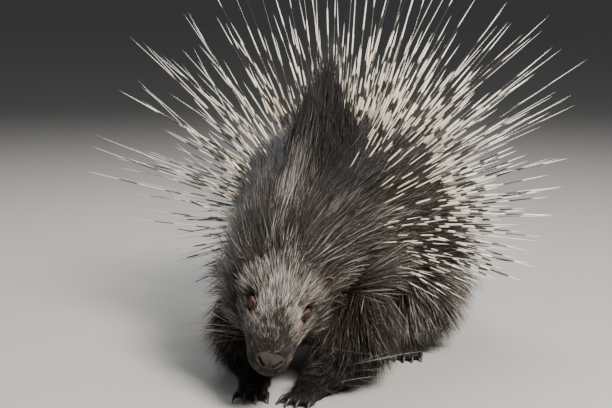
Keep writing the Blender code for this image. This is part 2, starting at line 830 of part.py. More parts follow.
class Growth:
    """Keeps what grows on each part, and keeps pieces clear of the other parts."""

    def __init__(self, parts):
        self.parts = parts
        self.skins = {name: surface_of(obj) for name, obj in parts.items()}
        self.roomy = {name: surface_of(grown(obj, GAP, "room")) for name, obj in parts.items()}
        self.placed = []
        self.pieces = {name: [] for name in parts}
        for obj in list(bpy.data.objects):
            if obj.name.startswith("room"):
                bpy.data.objects.remove(obj)

    def fits(self, piece, home):
        """True if the piece stays clear of other parts and of what grows there already."""
        wide = grown(piece, GAP, "wide")
        tree = surface_of(wide)
        corners = [vert.co.copy() for vert in wide.data.vertices]
        bpy.data.objects.remove(wide)
        low = [min(corner[axis] for corner in corners) for axis in range(3)]
        high = [max(corner[axis] for corner in corners) for axis in range(3)]
        if low[2] < FLOOR_SINK + GAP:
            return False
        for name, skin in self.roomy.items():
            if name != home and tree.overlap(skin):
                return False
        for other_low, other_high, other_tree in self.placed:
            if any(low[i] > other_high[i] or high[i] < other_low[i] for i in range(3)):
                continue
            if tree.overlap(other_tree):
                return False
        self.placed.append((low, high, tree))
        return True

    def add(self, piece, home):
        if self.fits(piece, home):
            self.pieces[home].append(piece)
            return True
        bpy.data.objects.remove(piece)
        return False

    def fuse(self):
        """Joins what grew on each part to it."""
        for name, pieces in self.pieces.items():
            if pieces:
                boolean(self.parts[name], pieces, "UNION")


def home_of(y):
    """The trunk part at that distance along the back."""
    if y < SHOULDER_CUT[0][1]:
        return "torso_front" if y > NECK_CUT[0][1] else "neck"
    return "torso_rear" if y < TAIL_CUT[0][1] else "tail"


def back_point(growth, home, y, around):
    """Where a ray from the trunk's axis, turned that far round from straight up, leaves it."""
    axis = Vector((0.0, y, between(sorted(TRUNK), y, 1)))
    ray = Vector((math.sin(around), 0.0, math.cos(around)))
    place, normal, _, _ = growth.skins[home].ray_cast(axis, ray)
    if place is not None and normal.dot(ray) < 0:
        normal = -normal
    return place, normal


def stray(draw, most):
    return draw.uniform(-most, most)


def grow_quills(growth, draw):
    y = QUILL_ROWS[0]
    row = 0
    while y <= QUILL_ROWS[1]:
        girth = between(sorted(TRUNK), y, 2)
        step = ROOT_STEP / max(girth, TRUNK_LEAST)
        count = int(QUILL_REACH / step)
        for i in range(-count, count + 1):
            around = (i + 0.5 * (row % 2)) * step
            if abs(around) > QUILL_REACH or (y < BACK_STARTS and abs(around) < CREST_STRIP):
                continue
            for _ in range(TRIES):
                here = y + stray(draw, QUILL_STRAY[0]) * ROW_STEP
                turn = around + stray(draw, QUILL_STRAY[1]) * step
                place, normal = back_point(growth, home_of(here), here, turn)
                if place is None:
                    continue
                fall = between(QUILL_FALL, math.degrees(turn), 1)
                length = between(QUILL_PLAN, here, 1) * fall * draw.uniform(*QUILL_LENGTHS)
                radius = between(QUILL_PLAN, here, 2) * draw.uniform(*QUILL_RADII)
                lean = between(QUILL_PLAN, here, 3) + stray(draw, QUILL_TILTS[0])
                swing = turn * QUILL_SPLAY + stray(draw, QUILL_TILTS[1])
                out = Vector((math.sin(swing), 0.0, math.cos(swing)))
                way = (out * math.cos(lean) + BACKWARD * math.sin(lean)).normalized()
                root = place - way * (QUILL_SINK / max(LEAST_RISE, way.dot(normal)))
                if growth.add(quill(root, way, length, radius), home_of(here)):
                    break
        y += ROW_STEP
        row += 1


def grow_rattle(growth, draw):
    count, length, radius = RATTLE
    for i in range(count):
        turn = 2 * math.pi * i / count * RATTLE_TURNS
        spread = RATTLE_CONE[0] + (RATTLE_CONE[1] - RATTLE_CONE[0]) * i / count
        way = Vector(
            (math.sin(turn) * math.sin(spread), math.cos(spread), math.cos(turn) * math.sin(spread))
        )
        size = length * draw.uniform(*RATTLE_LENGTHS)
        start = Vector(RATTLE_AT) + Vector((way.x, 0.0, way.z)) * RATTLE_RING
        growth.add(quill(start, way, size + RATTLE_ROOT, radius), "tail")


def crest_root(row, around):
    """The node, the axis point and the ray for a root in that row of the crest."""
    if row < len(CROWN_ROWS):
        frame = head_matrix().to_3x3()
        ray = frame.col[2] * math.cos(around) + frame.col[1] * math.sin(around)
        return "head", on_head((CROWN_ROWS[row][0], 0.0, 0.0)), ray
    share = (row - len(CROWN_ROWS)) / (CREST_ROWS - 1)
    y = CREST_PLAN[0][0] + (CREST_PLAN[-1][0] - CREST_PLAN[0][0]) * share
    axis = Vector((0.0, y, between(sorted(TRUNK), y, 1)))
    return home_of(y), axis, Vector((math.sin(around), 0.0, math.cos(around)))


def grow_crest(growth, draw):
    """Locks that stand up from the crown, the nape and the shoulders and lean to the rear."""
    for row in range(len(CROWN_ROWS) + CREST_ROWS):
        in_row = CREST_IN_ROW[row % 2]
        for i in range(in_row):
            for _ in range(TRIES):
                aside = 2 * i / (in_row - 1) - 1
                around = CREST_SPREAD * aside + stray(draw, CREST_STRAY)
                home, axis, ray = crest_root(row, around)
                place = growth.skins[home].ray_cast(axis, ray)[0]
                if place is None:
                    continue
                if row < len(CROWN_ROWS):
                    _, length, lean = CROWN_ROWS[row]
                else:
                    length = between(CREST_PLAN, place.y, 1)
                    lean = between(CREST_PLAN, place.y, 2)
                length *= (1 - CREST_DROP * aside * aside) * draw.uniform(*CREST_LENGTHS)
                swing = -around * CREST_DRAWN_IN
                out = Vector((math.sin(swing), 0.0, math.cos(swing)))
                way = (out * math.cos(lean) + BACKWARD * math.sin(lean)).normalized()
                centres = [place - way * CREST_SINK]
                for share, bend in CREST_BENDS:
                    centres.append(place + (way * share + BACKWARD * bend) * length)
                if growth.add(lock(centres, [BACKWARD] * 3, CREST_LOCK), home):
                    break


def coat_lock(whole, place, normal, length, rise):
    """A lock that lies along the coat's flow and rises towards its tip."""
    flow = COAT_FLOW - normal * COAT_FLOW.dot(normal)
    if flow.length < LEAST_FLOW:
        return None
    flow.normalize()
    centres, flats = [], []
    for share, lift in zip(COAT_SHARES, COAT_LIFTS):
        near, near_normal, _, _ = whole.find_nearest(place + flow * (length * share))
        centres.append(near + near_normal * (lift * rise if lift > 0 else lift))
        flats.append(near_normal.copy())
    if (centres[-1] - centres[0]).length < COAT_STRAIGHT * length:
        return None
    return lock(centres, flats, COAT_LOCK)


def grow_coat(growth, draw, whole):
    """Locks over every part of the body that bears long bristles, evenly apart."""
    roots = []
    for home in COAT_HOMES:
        mesh_data = growth.parts[home].data
        for face in mesh_data.polygons:
            roots.append((home, face.center.copy(), face.normal.copy()))
    draw.shuffle(roots)
    taken = []
    for home, place, normal in roots:
        if not wants_lock(home, place, normal):
            continue
        if any((place - other).length < COAT_STEP for other in taken):
            continue
        length = draw.uniform(*COAT_LENGTHS)
        for rise in COAT_RISES:
            piece = coat_lock(whole, place, normal, length, rise)
            if piece is not None and growth.add(piece, home):
                taken.append(place)
                break


def wants_lock(home, place, normal):
    """Leaves out the cut faces, the belly, the crest's strip and the quilled back."""
    if abs(normal.y) > CUT_FACE:
        return False
    off = place - Vector(COAT_ROUND)
    around = abs(math.degrees(math.atan2(off.x, off.z)))
    from_top, lowest = REAR_COAT if home == "torso_rear" else FORE_COAT
    return around > from_top and place.z > lowest


def cover(parts):
    """Quills, rattle, crest and coat on the parts that bear them."""
    whole_bm = bmesh.new()
    for name, part in parts.items():
        if not name.startswith(("eye", "ear", "jaw")) and "foot" not in name:
            whole_bm.from_mesh(part.data)
    bmesh.ops.triangulate(whole_bm, faces=whole_bm.faces)
    whole = BVHTree.FromBMesh(whole_bm)
    whole_bm.free()
    growth = Growth(parts)
    draw = random.Random(SEED)
    grow_rattle(growth, draw)
    grow_crest(growth, draw)
    grow_quills(growth, draw)
    grow_coat(growth, draw, whole)
    growth.fuse()


def stand_on_origin(objects):
    """Moves everything so that the origin is on the floor under the middle of the box."""
    corners = [Vector(corner) for obj in objects for corner in obj.bound_box]
    low = [min(corner[axis] for corner in corners) for axis in range(3)]
    high = [max(corner[axis] for corner in corners) for axis in range(3)]
    shift = Vector((-(low[0] + high[0]) / 2, -(low[1] + high[1]) / 2, -low[2]))
    for obj in objects:
        obj.data.transform(Matrix.Translation(shift))


def main():
    clear_scene()
    hide = material("bristly_hide", *BRISTLY_HIDE)
    bare = material("bare_skin", *BARE_SKIN)
    eye = material("eye", *EYE_GLASS)
    finishes = {"eye_left": eye, "eye_right": eye, "ear_left": bare, "ear_right": bare}
    parts = parted_flesh()
    add_feet(parts)
    add_face(parts)
    cover(parts)
    kept = [keep_largest(obj, name, finishes.get(name, hide)) for name, obj in parts.items()]
    stand_on_origin(kept)


main()
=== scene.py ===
from itertools import product
from math import cos, pi, radians, sin, sqrt

import bpy
import numpy as np
from mathutils import Matrix, Vector
from mathutils.bvhtree import BVHTree
from numpy import interp


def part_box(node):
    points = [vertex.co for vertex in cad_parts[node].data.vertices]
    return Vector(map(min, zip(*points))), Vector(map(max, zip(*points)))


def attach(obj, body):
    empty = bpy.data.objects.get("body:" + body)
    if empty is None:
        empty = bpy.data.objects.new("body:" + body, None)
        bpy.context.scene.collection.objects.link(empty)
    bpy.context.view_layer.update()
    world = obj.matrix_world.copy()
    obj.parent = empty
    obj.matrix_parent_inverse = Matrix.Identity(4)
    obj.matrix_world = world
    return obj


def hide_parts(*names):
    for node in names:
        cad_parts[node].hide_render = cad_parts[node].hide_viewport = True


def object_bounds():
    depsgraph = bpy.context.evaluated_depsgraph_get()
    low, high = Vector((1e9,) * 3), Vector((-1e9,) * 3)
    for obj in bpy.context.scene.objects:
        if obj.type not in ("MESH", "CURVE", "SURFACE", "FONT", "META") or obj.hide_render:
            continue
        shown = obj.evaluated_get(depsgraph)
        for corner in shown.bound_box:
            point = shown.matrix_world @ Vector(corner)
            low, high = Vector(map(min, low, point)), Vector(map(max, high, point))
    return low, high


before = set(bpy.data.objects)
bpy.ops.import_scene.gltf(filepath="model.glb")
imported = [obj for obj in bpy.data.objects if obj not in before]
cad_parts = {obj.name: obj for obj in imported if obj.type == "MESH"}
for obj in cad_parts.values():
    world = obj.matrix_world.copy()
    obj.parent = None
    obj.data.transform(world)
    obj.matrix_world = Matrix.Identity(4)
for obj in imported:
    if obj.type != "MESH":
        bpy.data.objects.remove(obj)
cad_low, cad_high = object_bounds()

# The hide of the body, head and limbs. On the real mount it is one tanned skin, drawn over a carved
# form and sewn underneath. It lies a coat's depth inside the solids where they carry no locks.
TRUNK = (
    (0.262, 0.15, 0.022, 0.02, 0.022),
    (0.25, 0.152, 0.056, 0.052, 0.052),
    (0.222, 0.157, 0.092, 0.084, 0.08),
    (0.18, 0.164, 0.114, 0.106, 0.102),
    (0.125, 0.17, 0.125, 0.119, 0.116),
    (0.065, 0.173, 0.123, 0.123, 0.12),
    (0.005, 0.171, 0.109, 0.119, 0.116),
    (-0.055, 0.165, 0.088, 0.107, 0.114),
    (-0.105, 0.156, 0.074, 0.091, 0.094),
    (-0.15, 0.146, 0.06, 0.075, 0.07),
    (-0.185, 0.135, 0.052, 0.062, 0.058),
    (-0.205, 0.128, 0.037, 0.044, 0.048),
)
TAIL = (
    ((0, 0.24, 0.15), 0.034),
    ((0, 0.268, 0.148), 0.031),
    ((0, 0.296, 0.145), 0.026),
    ((0, 0.322, 0.144), 0.02),
    ((0, 0.338, 0.145), 0.012),
)
HEAD_PIVOT = Vector((-0.001, -0.175, 0.142))
HEAD_PITCH = radians(29)
HEAD_YAW = radians(13)
HEAD_ROLL = radians(15)
SKULL = (
    (-0.022, 0.036, 0.036, 0.036),
    (-0.008, 0.045, 0.047, 0.048),
    (0.012, 0.048, 0.053, 0.054),
    (0.036, 0.0465, 0.055, 0.054),
    (0.06, 0.0425, 0.056, 0.049),
    (0.084, 0.0375, 0.053, 0.042),
    (0.106, 0.031, 0.047, 0.036),
    (0.126, 0.0265, 0.041, 0.032),
    (0.142, 0.0235, 0.034, 0.028),
    (0.152, 0.0205, 0.027, 0.023),
    (0.158, 0.0145, 0.016, 0.013),
)
CHEEK = ((0.042, 0.03, -0.016), (0.034, 0.019, 0.03))
WHISKER_PAD = ((0.126, 0.0125, -0.012), (0.024, 0.0135, 0.016))
BROW = ((0.066, 0.022, 0.04), (0.02, 0.012, 0.008))
NOSE_BED = ((0.15, 0, 0.008), (0.009, 0.0155, 0.012))
JAW = (
    (0.044, -0.038, 0.016, 0.014, 0.012),
    (0.058, -0.041, 0.027, 0.018, 0.018),
    (0.082, -0.04, 0.026, 0.018, 0.017),
    (0.106, -0.036, 0.022, 0.016, 0.014),
    (0.126, -0.032, 0.016, 0.012, 0.011),
    (0.136, -0.029, 0.009, 0.007, 0.007),
)
FORE_LEG = (
    ((0.046, -0.066, 0.138), 0.045),
    ((0.06, -0.096, 0.098), 0.043),
    ((0.069, -0.124, 0.062), 0.038),
    ((0.071, -0.15, 0.041), 0.031),
    ((0.063, -0.174, 0.03), 0.0245),
    ((0.051, -0.191, 0.024), 0.0205),
)
PALM = ((0.038, -0.213, 0.0155), (0.021, 0.027, 0.015))
PALM_TURN = radians(-14)
FORE_SHIFT = 0.014
RIGHT_TUCK = 0.009
HIND_LEG = (
    ((0.066, 0.145, 0.14), 0.074),
    ((0.084, 0.095, 0.11), 0.066),
    ((0.102, 0.05, 0.078), 0.048),
    ((0.106, 0.052, 0.05), 0.036),
    ((0.105, 0.076, 0.034), 0.028),
    ((0.104, 0.092, 0.023), 0.022),
)
SOLE = ((0.105, 0.046, 0.015), (0.0225, 0.05, 0.0155))
SOLE_TURN = radians(9)
FORE_TOES = (4, 0.0102, radians(9), (0.006, 0.0155, 0.0068))
HIND_TOES = (5, 0.0088, radians(6), (0.0054, 0.0155, 0.0062))
TOE_RISE = 0.008
EYE_AT = (0.084, 0.031, 0.027)
EYE_R = 0.0066
EYE_TURN = radians(-30)
BARE_AT = (EYE_AT[0] + 0.0088, EYE_AT[1] + 0.001, EYE_AT[2] - 0.0112)
BARE_R = 0.0054
FLOOR_SINK = 0.0012
HIDE_VOXEL = 0.0027
HIDE_ROUNDS = 50
SIGNS = (("right", -1), ("left", 1))


def head_frame():
    """From (distance, side, height) on the head to the body's axes."""
    sine, cosine, flat = sin(HEAD_YAW), cos(HEAD_YAW), cos(HEAD_PITCH)
    forward = Vector((sine * flat, -cosine * flat, -sin(HEAD_PITCH)))
    level = Vector((cosine, sine, 0))
    side = level * cos(HEAD_ROLL) - level.cross(-forward) * sin(HEAD_ROLL)
    turn = Matrix((forward, side, side.cross(-forward))).transposed().to_4x4()
    return Matrix.Translation(HEAD_PIVOT) @ turn


head_place = head_frame()
head_forward, head_side, head_up = (head_place.col[i].to_3d() for i in range(3))


def mirrored(point, sign):
    return Vector((point[0], point[1] * sign, point[2]))


def on_head(point, sign=1):
    return head_place @ mirrored(point, sign)


def eye_frame(sign):
    """The eye's own axes: X along the head, Y to the animal's left, Z up."""
    turn = head_place.to_3x3() @ Matrix.Rotation(EYE_TURN * sign, 3, "Z")
    return Matrix.Translation(on_head(EYE_AT, sign)) @ turn.to_4x4()


def on_fore(point, sign):
    """A place of a foreleg: the feet are set to the left, and the right elbow is tucked in."""
    x, y, z = point
    share = min(1, max(0, (y - FORE_LEG[0][0][1]) / (PALM[0][1] - FORE_LEG[0][0][1])))
    tuck = RIGHT_TUCK * sin(pi * share) if sign < 0 else 0
    return (sign * x + FORE_SHIFT * share + tuck, y, z)


def on_hind(point, sign):
    return (sign * point[0], point[1], point[2])


def oval(centre, side, up, width, rise, drop, sides):
    points = []
    for i in range(sides):
        angle = 2 * pi * i / sides
        height = rise if sin(angle) > 0 else drop
        points.append(centre + side * (width * cos(angle)) + up * (height * sin(angle)))
    return points


def band(rows, sides):
    """Quads between rows of points round an axis."""
    j = np.arange(sides)
    k = (j + 1) % sides
    one = np.stack([j, k, k + sides, j + sides], 1)
    return np.concatenate([one + i * sides for i in range(rows - 1)])


class Form:
    """Gathers the closed lofts and swellings of the carved form before they are made one."""

    def __init__(self):
        self.points = []
        self.faces = []

    def loft(self, rings):
        start, sides = len(self.points), len(rings[0])
        last = start + (len(rings) - 1) * sides
        self.points += [tuple(point) for ring in rings for point in ring]
        self.faces += (band(len(rings), sides) + start).tolist()
        self.faces.append([start + j for j in reversed(range(sides))])
        self.faces.append([last + j for j in range(sides)])

    def tube(self, chain, sides=28):
        """A round limb through (centre, radius) pairs, with a dome at each end."""
        centres = [Vector(centre) for centre, _ in chain]
        last = len(chain) - 1
        rows = []
        for i, (_, radius) in enumerate(chain):
            way = (centres[min(i + 1, last)] - centres[max(i - 1, 0)]).normalized()
            rows.append((centres[i], radius, way))
        first, end = rows[0], rows[-1]
        for across, along in ((0.97, 0.22), (0.86, 0.5), (0.6, 0.8), (0.2, 0.97)):
            rows.insert(0, (first[0] - first[2] * first[1] * along, first[1] * across, first[2]))
            rows.append((end[0] + end[2] * end[1] * along, end[1] * across, end[2]))
        rings = []
        side = Vector((1, 0, 0))
        for centre, radius, way in rows:
            up = side.cross(way).normalized()
            side = way.cross(up).normalized()
            rings.append(oval(centre, side, up, radius, radius, radius, sides))
        self.loft(rings)

    def swelling(self, place, half_sizes, rows=14, sides=24):
        """An ellipsoid on its own axes."""
        rings = []
        for i in range(1, rows):
            slope = pi * i / rows
            wide, deep = (half * sin(slope) for half in half_sizes[:2])
            height = -half_sizes[2] * cos(slope)
            turns = [2 * pi * j / sides for j in range(sides)]
            points = [(wide * cos(turn), deep * sin(turn), height) for turn in turns]
            rings.append([place @ Vector(point) for point in points])
        self.loft(rings)


def foot_frame(pad, place, turn, sign):
    return Matrix.Translation(Vector(place(pad[0], sign))) @ Matrix.Rotation(turn * sign, 4, "Z")


def toe_frames(pad, place, turn, sign, plan):
    """The axes of each toe of a foot, in a fan from the front of its pad."""
    count, spread, fan_out, _ = plan
    foot = foot_frame(pad, place, turn, sign)
    frames = []
    for i in range(count):
        step = i - (count - 1) / 2
        edge = sqrt(max(0, 1 - (step * spread / (pad[1][0] * 1.25)) ** 2))
        base = Vector((step * spread, -pad[1][1] * 0.8 * edge, TOE_RISE - pad[0][2]))
        frames.append(foot @ Matrix.Translation(base) @ Matrix.Rotation(step * fan_out, 4, "Z"))
    return frames


FEET = tuple(
    (f"{end}_{name}", sign, pad, place, turn, plan)
    for name, sign in SIGNS
    for end, pad, place, turn, plan in (
        ("fore", PALM, on_fore, PALM_TURN, FORE_TOES),
        ("hind", SOLE, on_hind, SOLE_TURN, HIND_TOES),
    )
)

form = Form()
sideways, backward, upward = Vector((1, 0, 0)), Vector((0, 1, 0)), Vector((0, 0, 1))
trunk_rings = []
for i, (y, z, *sizes) in enumerate(TRUNK):
    ahead, behind = TRUNK[min(i + 1, len(TRUNK) - 1)], TRUNK[max(i - 1, 0)]
    way = Vector((0, ahead[0] - behind[0], ahead[1] - behind[1])).normalized()
    up = way.cross(sideways).normalized()
    up = -up if up.z < 0 else up
    trunk_rings.append(oval(Vector((0, y, z)), sideways, up, *sizes, 56))
form.loft(trunk_rings)
for rows, sides in (([(distance, 0, *sizes) for distance, *sizes in SKULL], 44), (JAW, 28)):
    form.loft(
        [
            oval(on_head((distance, 0, height)), head_side, head_up, *sizes, sides)
            for distance, height, *sizes in rows
        ]
    )
form.swelling(head_place @ Matrix.Translation(Vector(NOSE_BED[0])), NOSE_BED[1])
for name, sign in SIGNS:
    for centre, half_sizes in (CHEEK, WHISKER_PAD, BROW):
        form.swelling(head_place @ Matrix.Translation(mirrored(centre, sign)), half_sizes)
    form.tube([(on_fore(centre, sign), radius) for centre, radius in FORE_LEG])
    form.tube([(on_hind(centre, sign), radius) for centre, radius in HIND_LEG])
for _, sign, pad, place, turn, plan in FEET:
    form.swelling(foot_frame(pad, place, turn, sign), pad[1])
    for toe in toe_frames(pad, place, turn, sign, plan):
        form.swelling(toe @ Matrix.Translation((0, -plan[3][1] * 0.55, 0)), plan[3])
form.tube(TAIL)


def linked(name, data):
    made = bpy.data.objects.new(name, data)
    bpy.context.scene.collection.objects.link(made)
    return made


raw = bpy.data.meshes.new("hide")
raw.from_pydata(form.points, [], form.faces)
hide = linked("hide", raw)
even = hide.modifiers.new("even", "REMESH")
even.mode = "VOXEL"
even.voxel_size = HIDE_VOXEL
soften = hide.modifiers.new("soften", "SMOOTH")
soften.factor = 0.5
soften.iterations = HIDE_ROUNDS
graph = bpy.context.evaluated_depsgraph_get()
graph.update()
whole = bpy.data.meshes.new_from_object(hide.evaluated_get(graph))
hide.modifiers.clear()
hide.data = whole
whole.name = "hide"

# Everything is built on the solids' own measures, which lie off the row's origin by this much.
eye_low, eye_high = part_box("eye_left")
shift = (eye_low + eye_high) / 2 - on_head(EYE_AT)
shift_row = np.array(shift)


def read(what, key, width, kind=np.float64):
    values = np.zeros(len(what) * width, kind)
    what.foreach_get(key, values)
    return values.reshape(-1, width)


def chain_gap(points, pairs):
    """How far points lie outside a round chain, and how far along it each one is."""
    centres, radii = (np.array(column) for column in zip(*pairs))
    best = np.full(len(points), 1e9)
    along = np.zeros(len(points))
    for i in range(len(centres) - 1):
        step = centres[i + 1] - centres[i]
        share = ((points - centres[i]) @ step / (step @ step)).clip(0, 1)
        near = centres[i] + share[:, None] * step
        radius = radii[i] + (radii[i + 1] - radii[i]) * share
        gap = np.linalg.norm(points - near, axis=1) - radius
        closer = gap < best
        best = np.where(closer, gap, best)
        along = np.where(closer, (i + share) / (len(centres) - 1), along)
    return best, along


head_chain = [
    (tuple(on_head((distance, 0, (rise - drop) / 2))), (width + (rise + drop) / 2) / 2)
    for distance, width, rise, drop in SKULL
]
trunk_chain = [((0, y, z), (w + r + d) / 3) for y, z, w, r, d in TRUNK]
CHAINS = {"head": head_chain, "trunk": trunk_chain, "tail": TAIL}
FOOT_CHAINS = {
    "fore": (FORE_LEG[1:], ((0, 0.019), (0.034, 0.012))),
    "hind": (HIND_LEG[2:5], ((-0.022, 0.02), (0.015, 0.02), (0.058, 0.012))),
}
for label, sign, pad, place, turn, _ in FEET:
    foot = Vector(place(pad[0], sign))
    way = -foot_frame(pad, place, turn, sign).col[1].to_3d()
    limb, ends = FOOT_CHAINS[label[:4]]
    CHAINS[label] = [(place(centre, sign), radius) for centre, radius in limb]
    CHAINS[label] += [(tuple(foot + way * along), radius) for along, radius in ends]
PARTS = list(CHAINS)
LEGS = tuple(part for part in PARTS if part[:4] in ("fore", "hind"))
head_turn = np.array(head_place.to_3x3())
trunk_rows = np.array(sorted(TRUNK))


class Places:
    """Points on the hide, with which part each belongs to and where on that part it lies."""

    def __init__(self, points, normals):
        self.at = points
        self.out = normals
        self.x, self.y, self.z = points.T
        gaps, ways = zip(*(chain_gap(points, CHAINS[part]) for part in PARTS))
        self.part = np.argmin(np.stack(gaps), axis=0)
        self.along = np.take_along_axis(np.stack(ways), self.part[None], 0)[0]
        self.head = (points - np.array(HEAD_PIVOT)) @ head_turn
        self.head_x, self.head_y, self.head_z = self.head.T
        self.head_around = np.arctan2(self.head_y, self.head_z)
        middle = interp(self.y, trunk_rows[:, 0], trunk_rows[:, 1])
        self.around = np.degrees(np.arctan2(self.x, self.z - middle))

    def on(self, *names):
        return np.isin(self.part, [i for i, part in enumerate(PARTS) if part in names])

    def pick(self, wanted):
        made = Places.__new__(Places)
        for key, value in self.__dict__.items():
            setattr(made, key, value[wanted])
        return made


def gap_to(points, spot):
    """How far points lie from a place of the head, on the nearer of its two sides."""
    centres = [np.array(on_head(spot, sign)) for _, sign in SIGNS]
    return np.minimum(*(np.linalg.norm(points - centre, axis=1) for centre in centres))


def bare_patch(points):
    """1 on the bare skin below and before each eye, 0 away from it."""
    return (1.5 - gap_to(points, BARE_AT) / BARE_R).clip(0, 1)


def coat_depth(places):
    """How deep the hide lies inside the solids, under fur that they don't carry."""
    face = interp(places.head_x, (-0.02, 0.02, 0.06, 0.11, 0.158), (0.8, 2.6, 2.2, 1.4, 0.9))
    depth = np.where(places.on("head"), face * 0.001, 0.0008)
    leg = interp(places.z, (0.005, 0.03, 0.06, 0.1), (0.8, 1.4, 3.2, 3))
    return np.where(places.on(*LEGS), leg * 0.001, depth)


vertices = read(whole.vertices, "co", 3)
normals = read(whole.vertices, "normal", 3)
skin_places = Places(vertices, normals)
near_eye = (1 - (gap_to(vertices, EYE_AT) - 0.0064) / 0.006).clip(0, 1)
depth = coat_depth(skin_places) + 0.003 * near_eye**1.5
sole_part = vertices[:, 2] < FLOOR_SINK + 0.001
vertices = vertices - normals * np.where(sole_part, 0.0002, depth)[:, None]
vertices[:, 2] = vertices[:, 2].clip(FLOOR_SINK, None)
whole.vertices.foreach_set("co", (vertices + shift_row).astype(np.float32).ravel())
whole.update()
normals = read(whole.vertices, "normal", 3)
whole.calc_loop_triangles()
triangles = read(whole.loop_triangles, "vertices", 3, np.int32)
whole.shade_smooth()


def dark_and_shade_share(places):
    """1 where coat and hide are nearly black: nape, chest, legs and feet, and the back under the quills
    and the muzzle's sides, which also hold painted shade; 0 on the brow.
    """
    low = interp(places.z, (0.045, 0.125), (1, 0))
    nape = interp(np.abs(places.around), (28, 85), (1, 0.45))
    nape = nape * interp(places.y, (-0.2, -0.165, -0.125), (0.64, 0.86, 0.98))
    # Behind the shoulders the coat and hide under the quills are painted near black: partly their own
    # dark tone, partly painted shade of the gaps between the quills.
    behind = interp(places.y, (-0.05, 0.03), (0.36, 0.88))
    share = np.where(places.on("trunk"), np.maximum(np.maximum(low, nape), behind), 0.3)
    fore = interp(places.z, (0.06, 0.11), (0.97, 0.4))
    thigh = interp(places.z, (0.035, 0.075), (0.95, 0.25))
    share = np.where(places.on(*LEGS), np.where(places.y > -0.02, thigh, fore), share)
    marks = (-0.02, 0.03, 0.058, 0.088, 0.108, 0.13, 0.155)
    face = interp(places.head_x, marks, (0.76, 0.64, 0.46, 0.14, 0.16, 0.5, 0.68))
    under = interp(places.head_z, (-0.04, 0), (0.85, 0))
    # The sides of the muzzle are darker: partly their own dark brown hair, partly painted shade.
    aside = interp(np.abs(places.head_around), (0.9, 1.7), (0, 0.42))
    aside = aside * interp(places.head_x, (0.07, 0.12), (0, 1))
    return np.where(places.on("head"), np.maximum(np.maximum(face, under), aside), share)


def add_values(mesh, name, values):
    """Keeps numbers on a mesh's points for its material."""
    kind, key = ("FLOAT", "value") if values.ndim == 1 else ("FLOAT_VECTOR", "vector")
    made = mesh.attributes.new(name, kind, "POINT")
    made.data.foreach_set(key, values.astype(np.float32).ravel())


add_values(whole, "dark", dark_and_shade_share(skin_places))
add_values(whole, "bare", bare_patch(skin_places.at))


class Wire:
    """A socket that carries a number over a surface, for use in sums."""

    def __init__(self, finish, socket):
        self.finish = finish
        self.socket = socket

    def sum(self, operation, first, second, clamp=False):
        settings = {"operation": operation, "use_clamp": clamp}
        return self.finish.add("ShaderNodeMath", settings, {0: first, 1: second})

    def __add__(self, other):
        return self.sum("ADD", self, other)

    def __sub__(self, other):
        return self.sum("SUBTRACT", self, other)

    def __rsub__(self, other):
        return self.sum("SUBTRACT", other, self)

    def __mul__(self, other):
        return self.sum("MULTIPLY", self, other)

    __radd__ = __add__
    __rmul__ = __mul__

    def rise(self, start, end):
        """0 below start, 1 above end, straight between."""
        return self.sum("MULTIPLY", self - start, 1 / (end - start), clamp=True)


class Finish:
    """A material that is built node by node."""

    def __init__(self, name, specular, **constants):
        self.material = bpy.data.materials.new(name)
        self.material.use_nodes = True
        self.tree = self.material.node_tree
        self.shader = self.tree.nodes["Principled BSDF"]
        for socket, value in (*constants.items(), ("Specular_IOR_Level", specular)):
            self.shader.inputs[socket.replace("_", " ")].default_value = value

    def add(self, kind, settings, sockets, out=0):
        node = self.tree.nodes.new(kind)
        for key, value in settings.items():
            setattr(node, key, value)
        for key, value in sockets.items():
            if isinstance(value, Wire):
                self.tree.links.new(value.socket, node.inputs[key])
            else:
                node.inputs[key].default_value = value
        return Wire(self, node.outputs[out])

    def value_of(self, name, out=2):
        return self.add("ShaderNodeAttribute", {"attribute_name": name}, {}, out)

    def parts_of(self, name):
        vector = self.value_of(name, 1)
        return [self.add("ShaderNodeSeparateXYZ", {}, {0: vector}, i) for i in range(3)]

    def place(self):
        return self.add("ShaderNodeTexCoord", {}, {}, 3)

    def noise(self, scale, detail=2, roughness=0.5):
        sockets = {"Vector": self.place(), "Scale": scale, "Detail": detail, "Roughness": roughness}
        return self.add("ShaderNodeTexNoise", {}, sockets)

    def cells(self, scale):
        return self.add("ShaderNodeTexVoronoi", {}, {"Vector": self.place(), "Scale": scale})

    def mix(self, first, second, share):
        sockets = {0: share}
        for key, value in ((6, first), (7, second)):
            sockets[key] = value if isinstance(value, Wire) else (*value, 1)
        return self.add("ShaderNodeMix", {"data_type": "RGBA"}, sockets, 2)

    def bump(self, height, distance):
        return self.add("ShaderNodeBump", {}, {"Height": height, "Distance": distance, "Strength": 1})

    def feed(self, **wires):
        for socket, wire in wires.items():
            self.tree.links.new(wire.socket, self.shader.inputs[socket.replace("_", " ")])
        return self.material


def hide_finish():
    finish = Finish("hide_under_coat", 0.35)
    dark, bare = finish.value_of("dark"), finish.value_of("bare")
    blotch = finish.noise(90, 4, 0.6)
    # The dark share darkens the hide; it includes painted shade under the quills and on the muzzle's
    # sides.
    grey = finish.mix((0.04, 0.03, 0.025), (0.012, 0.01, 0.009), dark)
    worn = finish.mix(grey, (0.075, 0.052, 0.042), blotch.rise(0.45, 0.75) * 0.5)
    pink = finish.mix((0.5, 0.2, 0.12), (0.34, 0.14, 0.095), blotch)
    creases = finish.noise(900, 3, 0.65)
    return finish.feed(
        Base_Color=finish.mix(worn, pink, bare),
        Roughness=0.55 + blotch * 0.25,
        Normal=finish.bump(creases + finish.cells(420) * 0.6, 0.0006),
    )


hide.data.materials.clear()
hide.data.materials.append(hide_finish())
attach(hide, "root")
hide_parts("head", "jaw", "neck", "torso_front", "torso_rear", "tail")
for name, _ in SIGNS:
    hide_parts(f"foreleg_{name}", f"forefoot_{name}", f"hindleg_{name}", f"hindfoot_{name}")


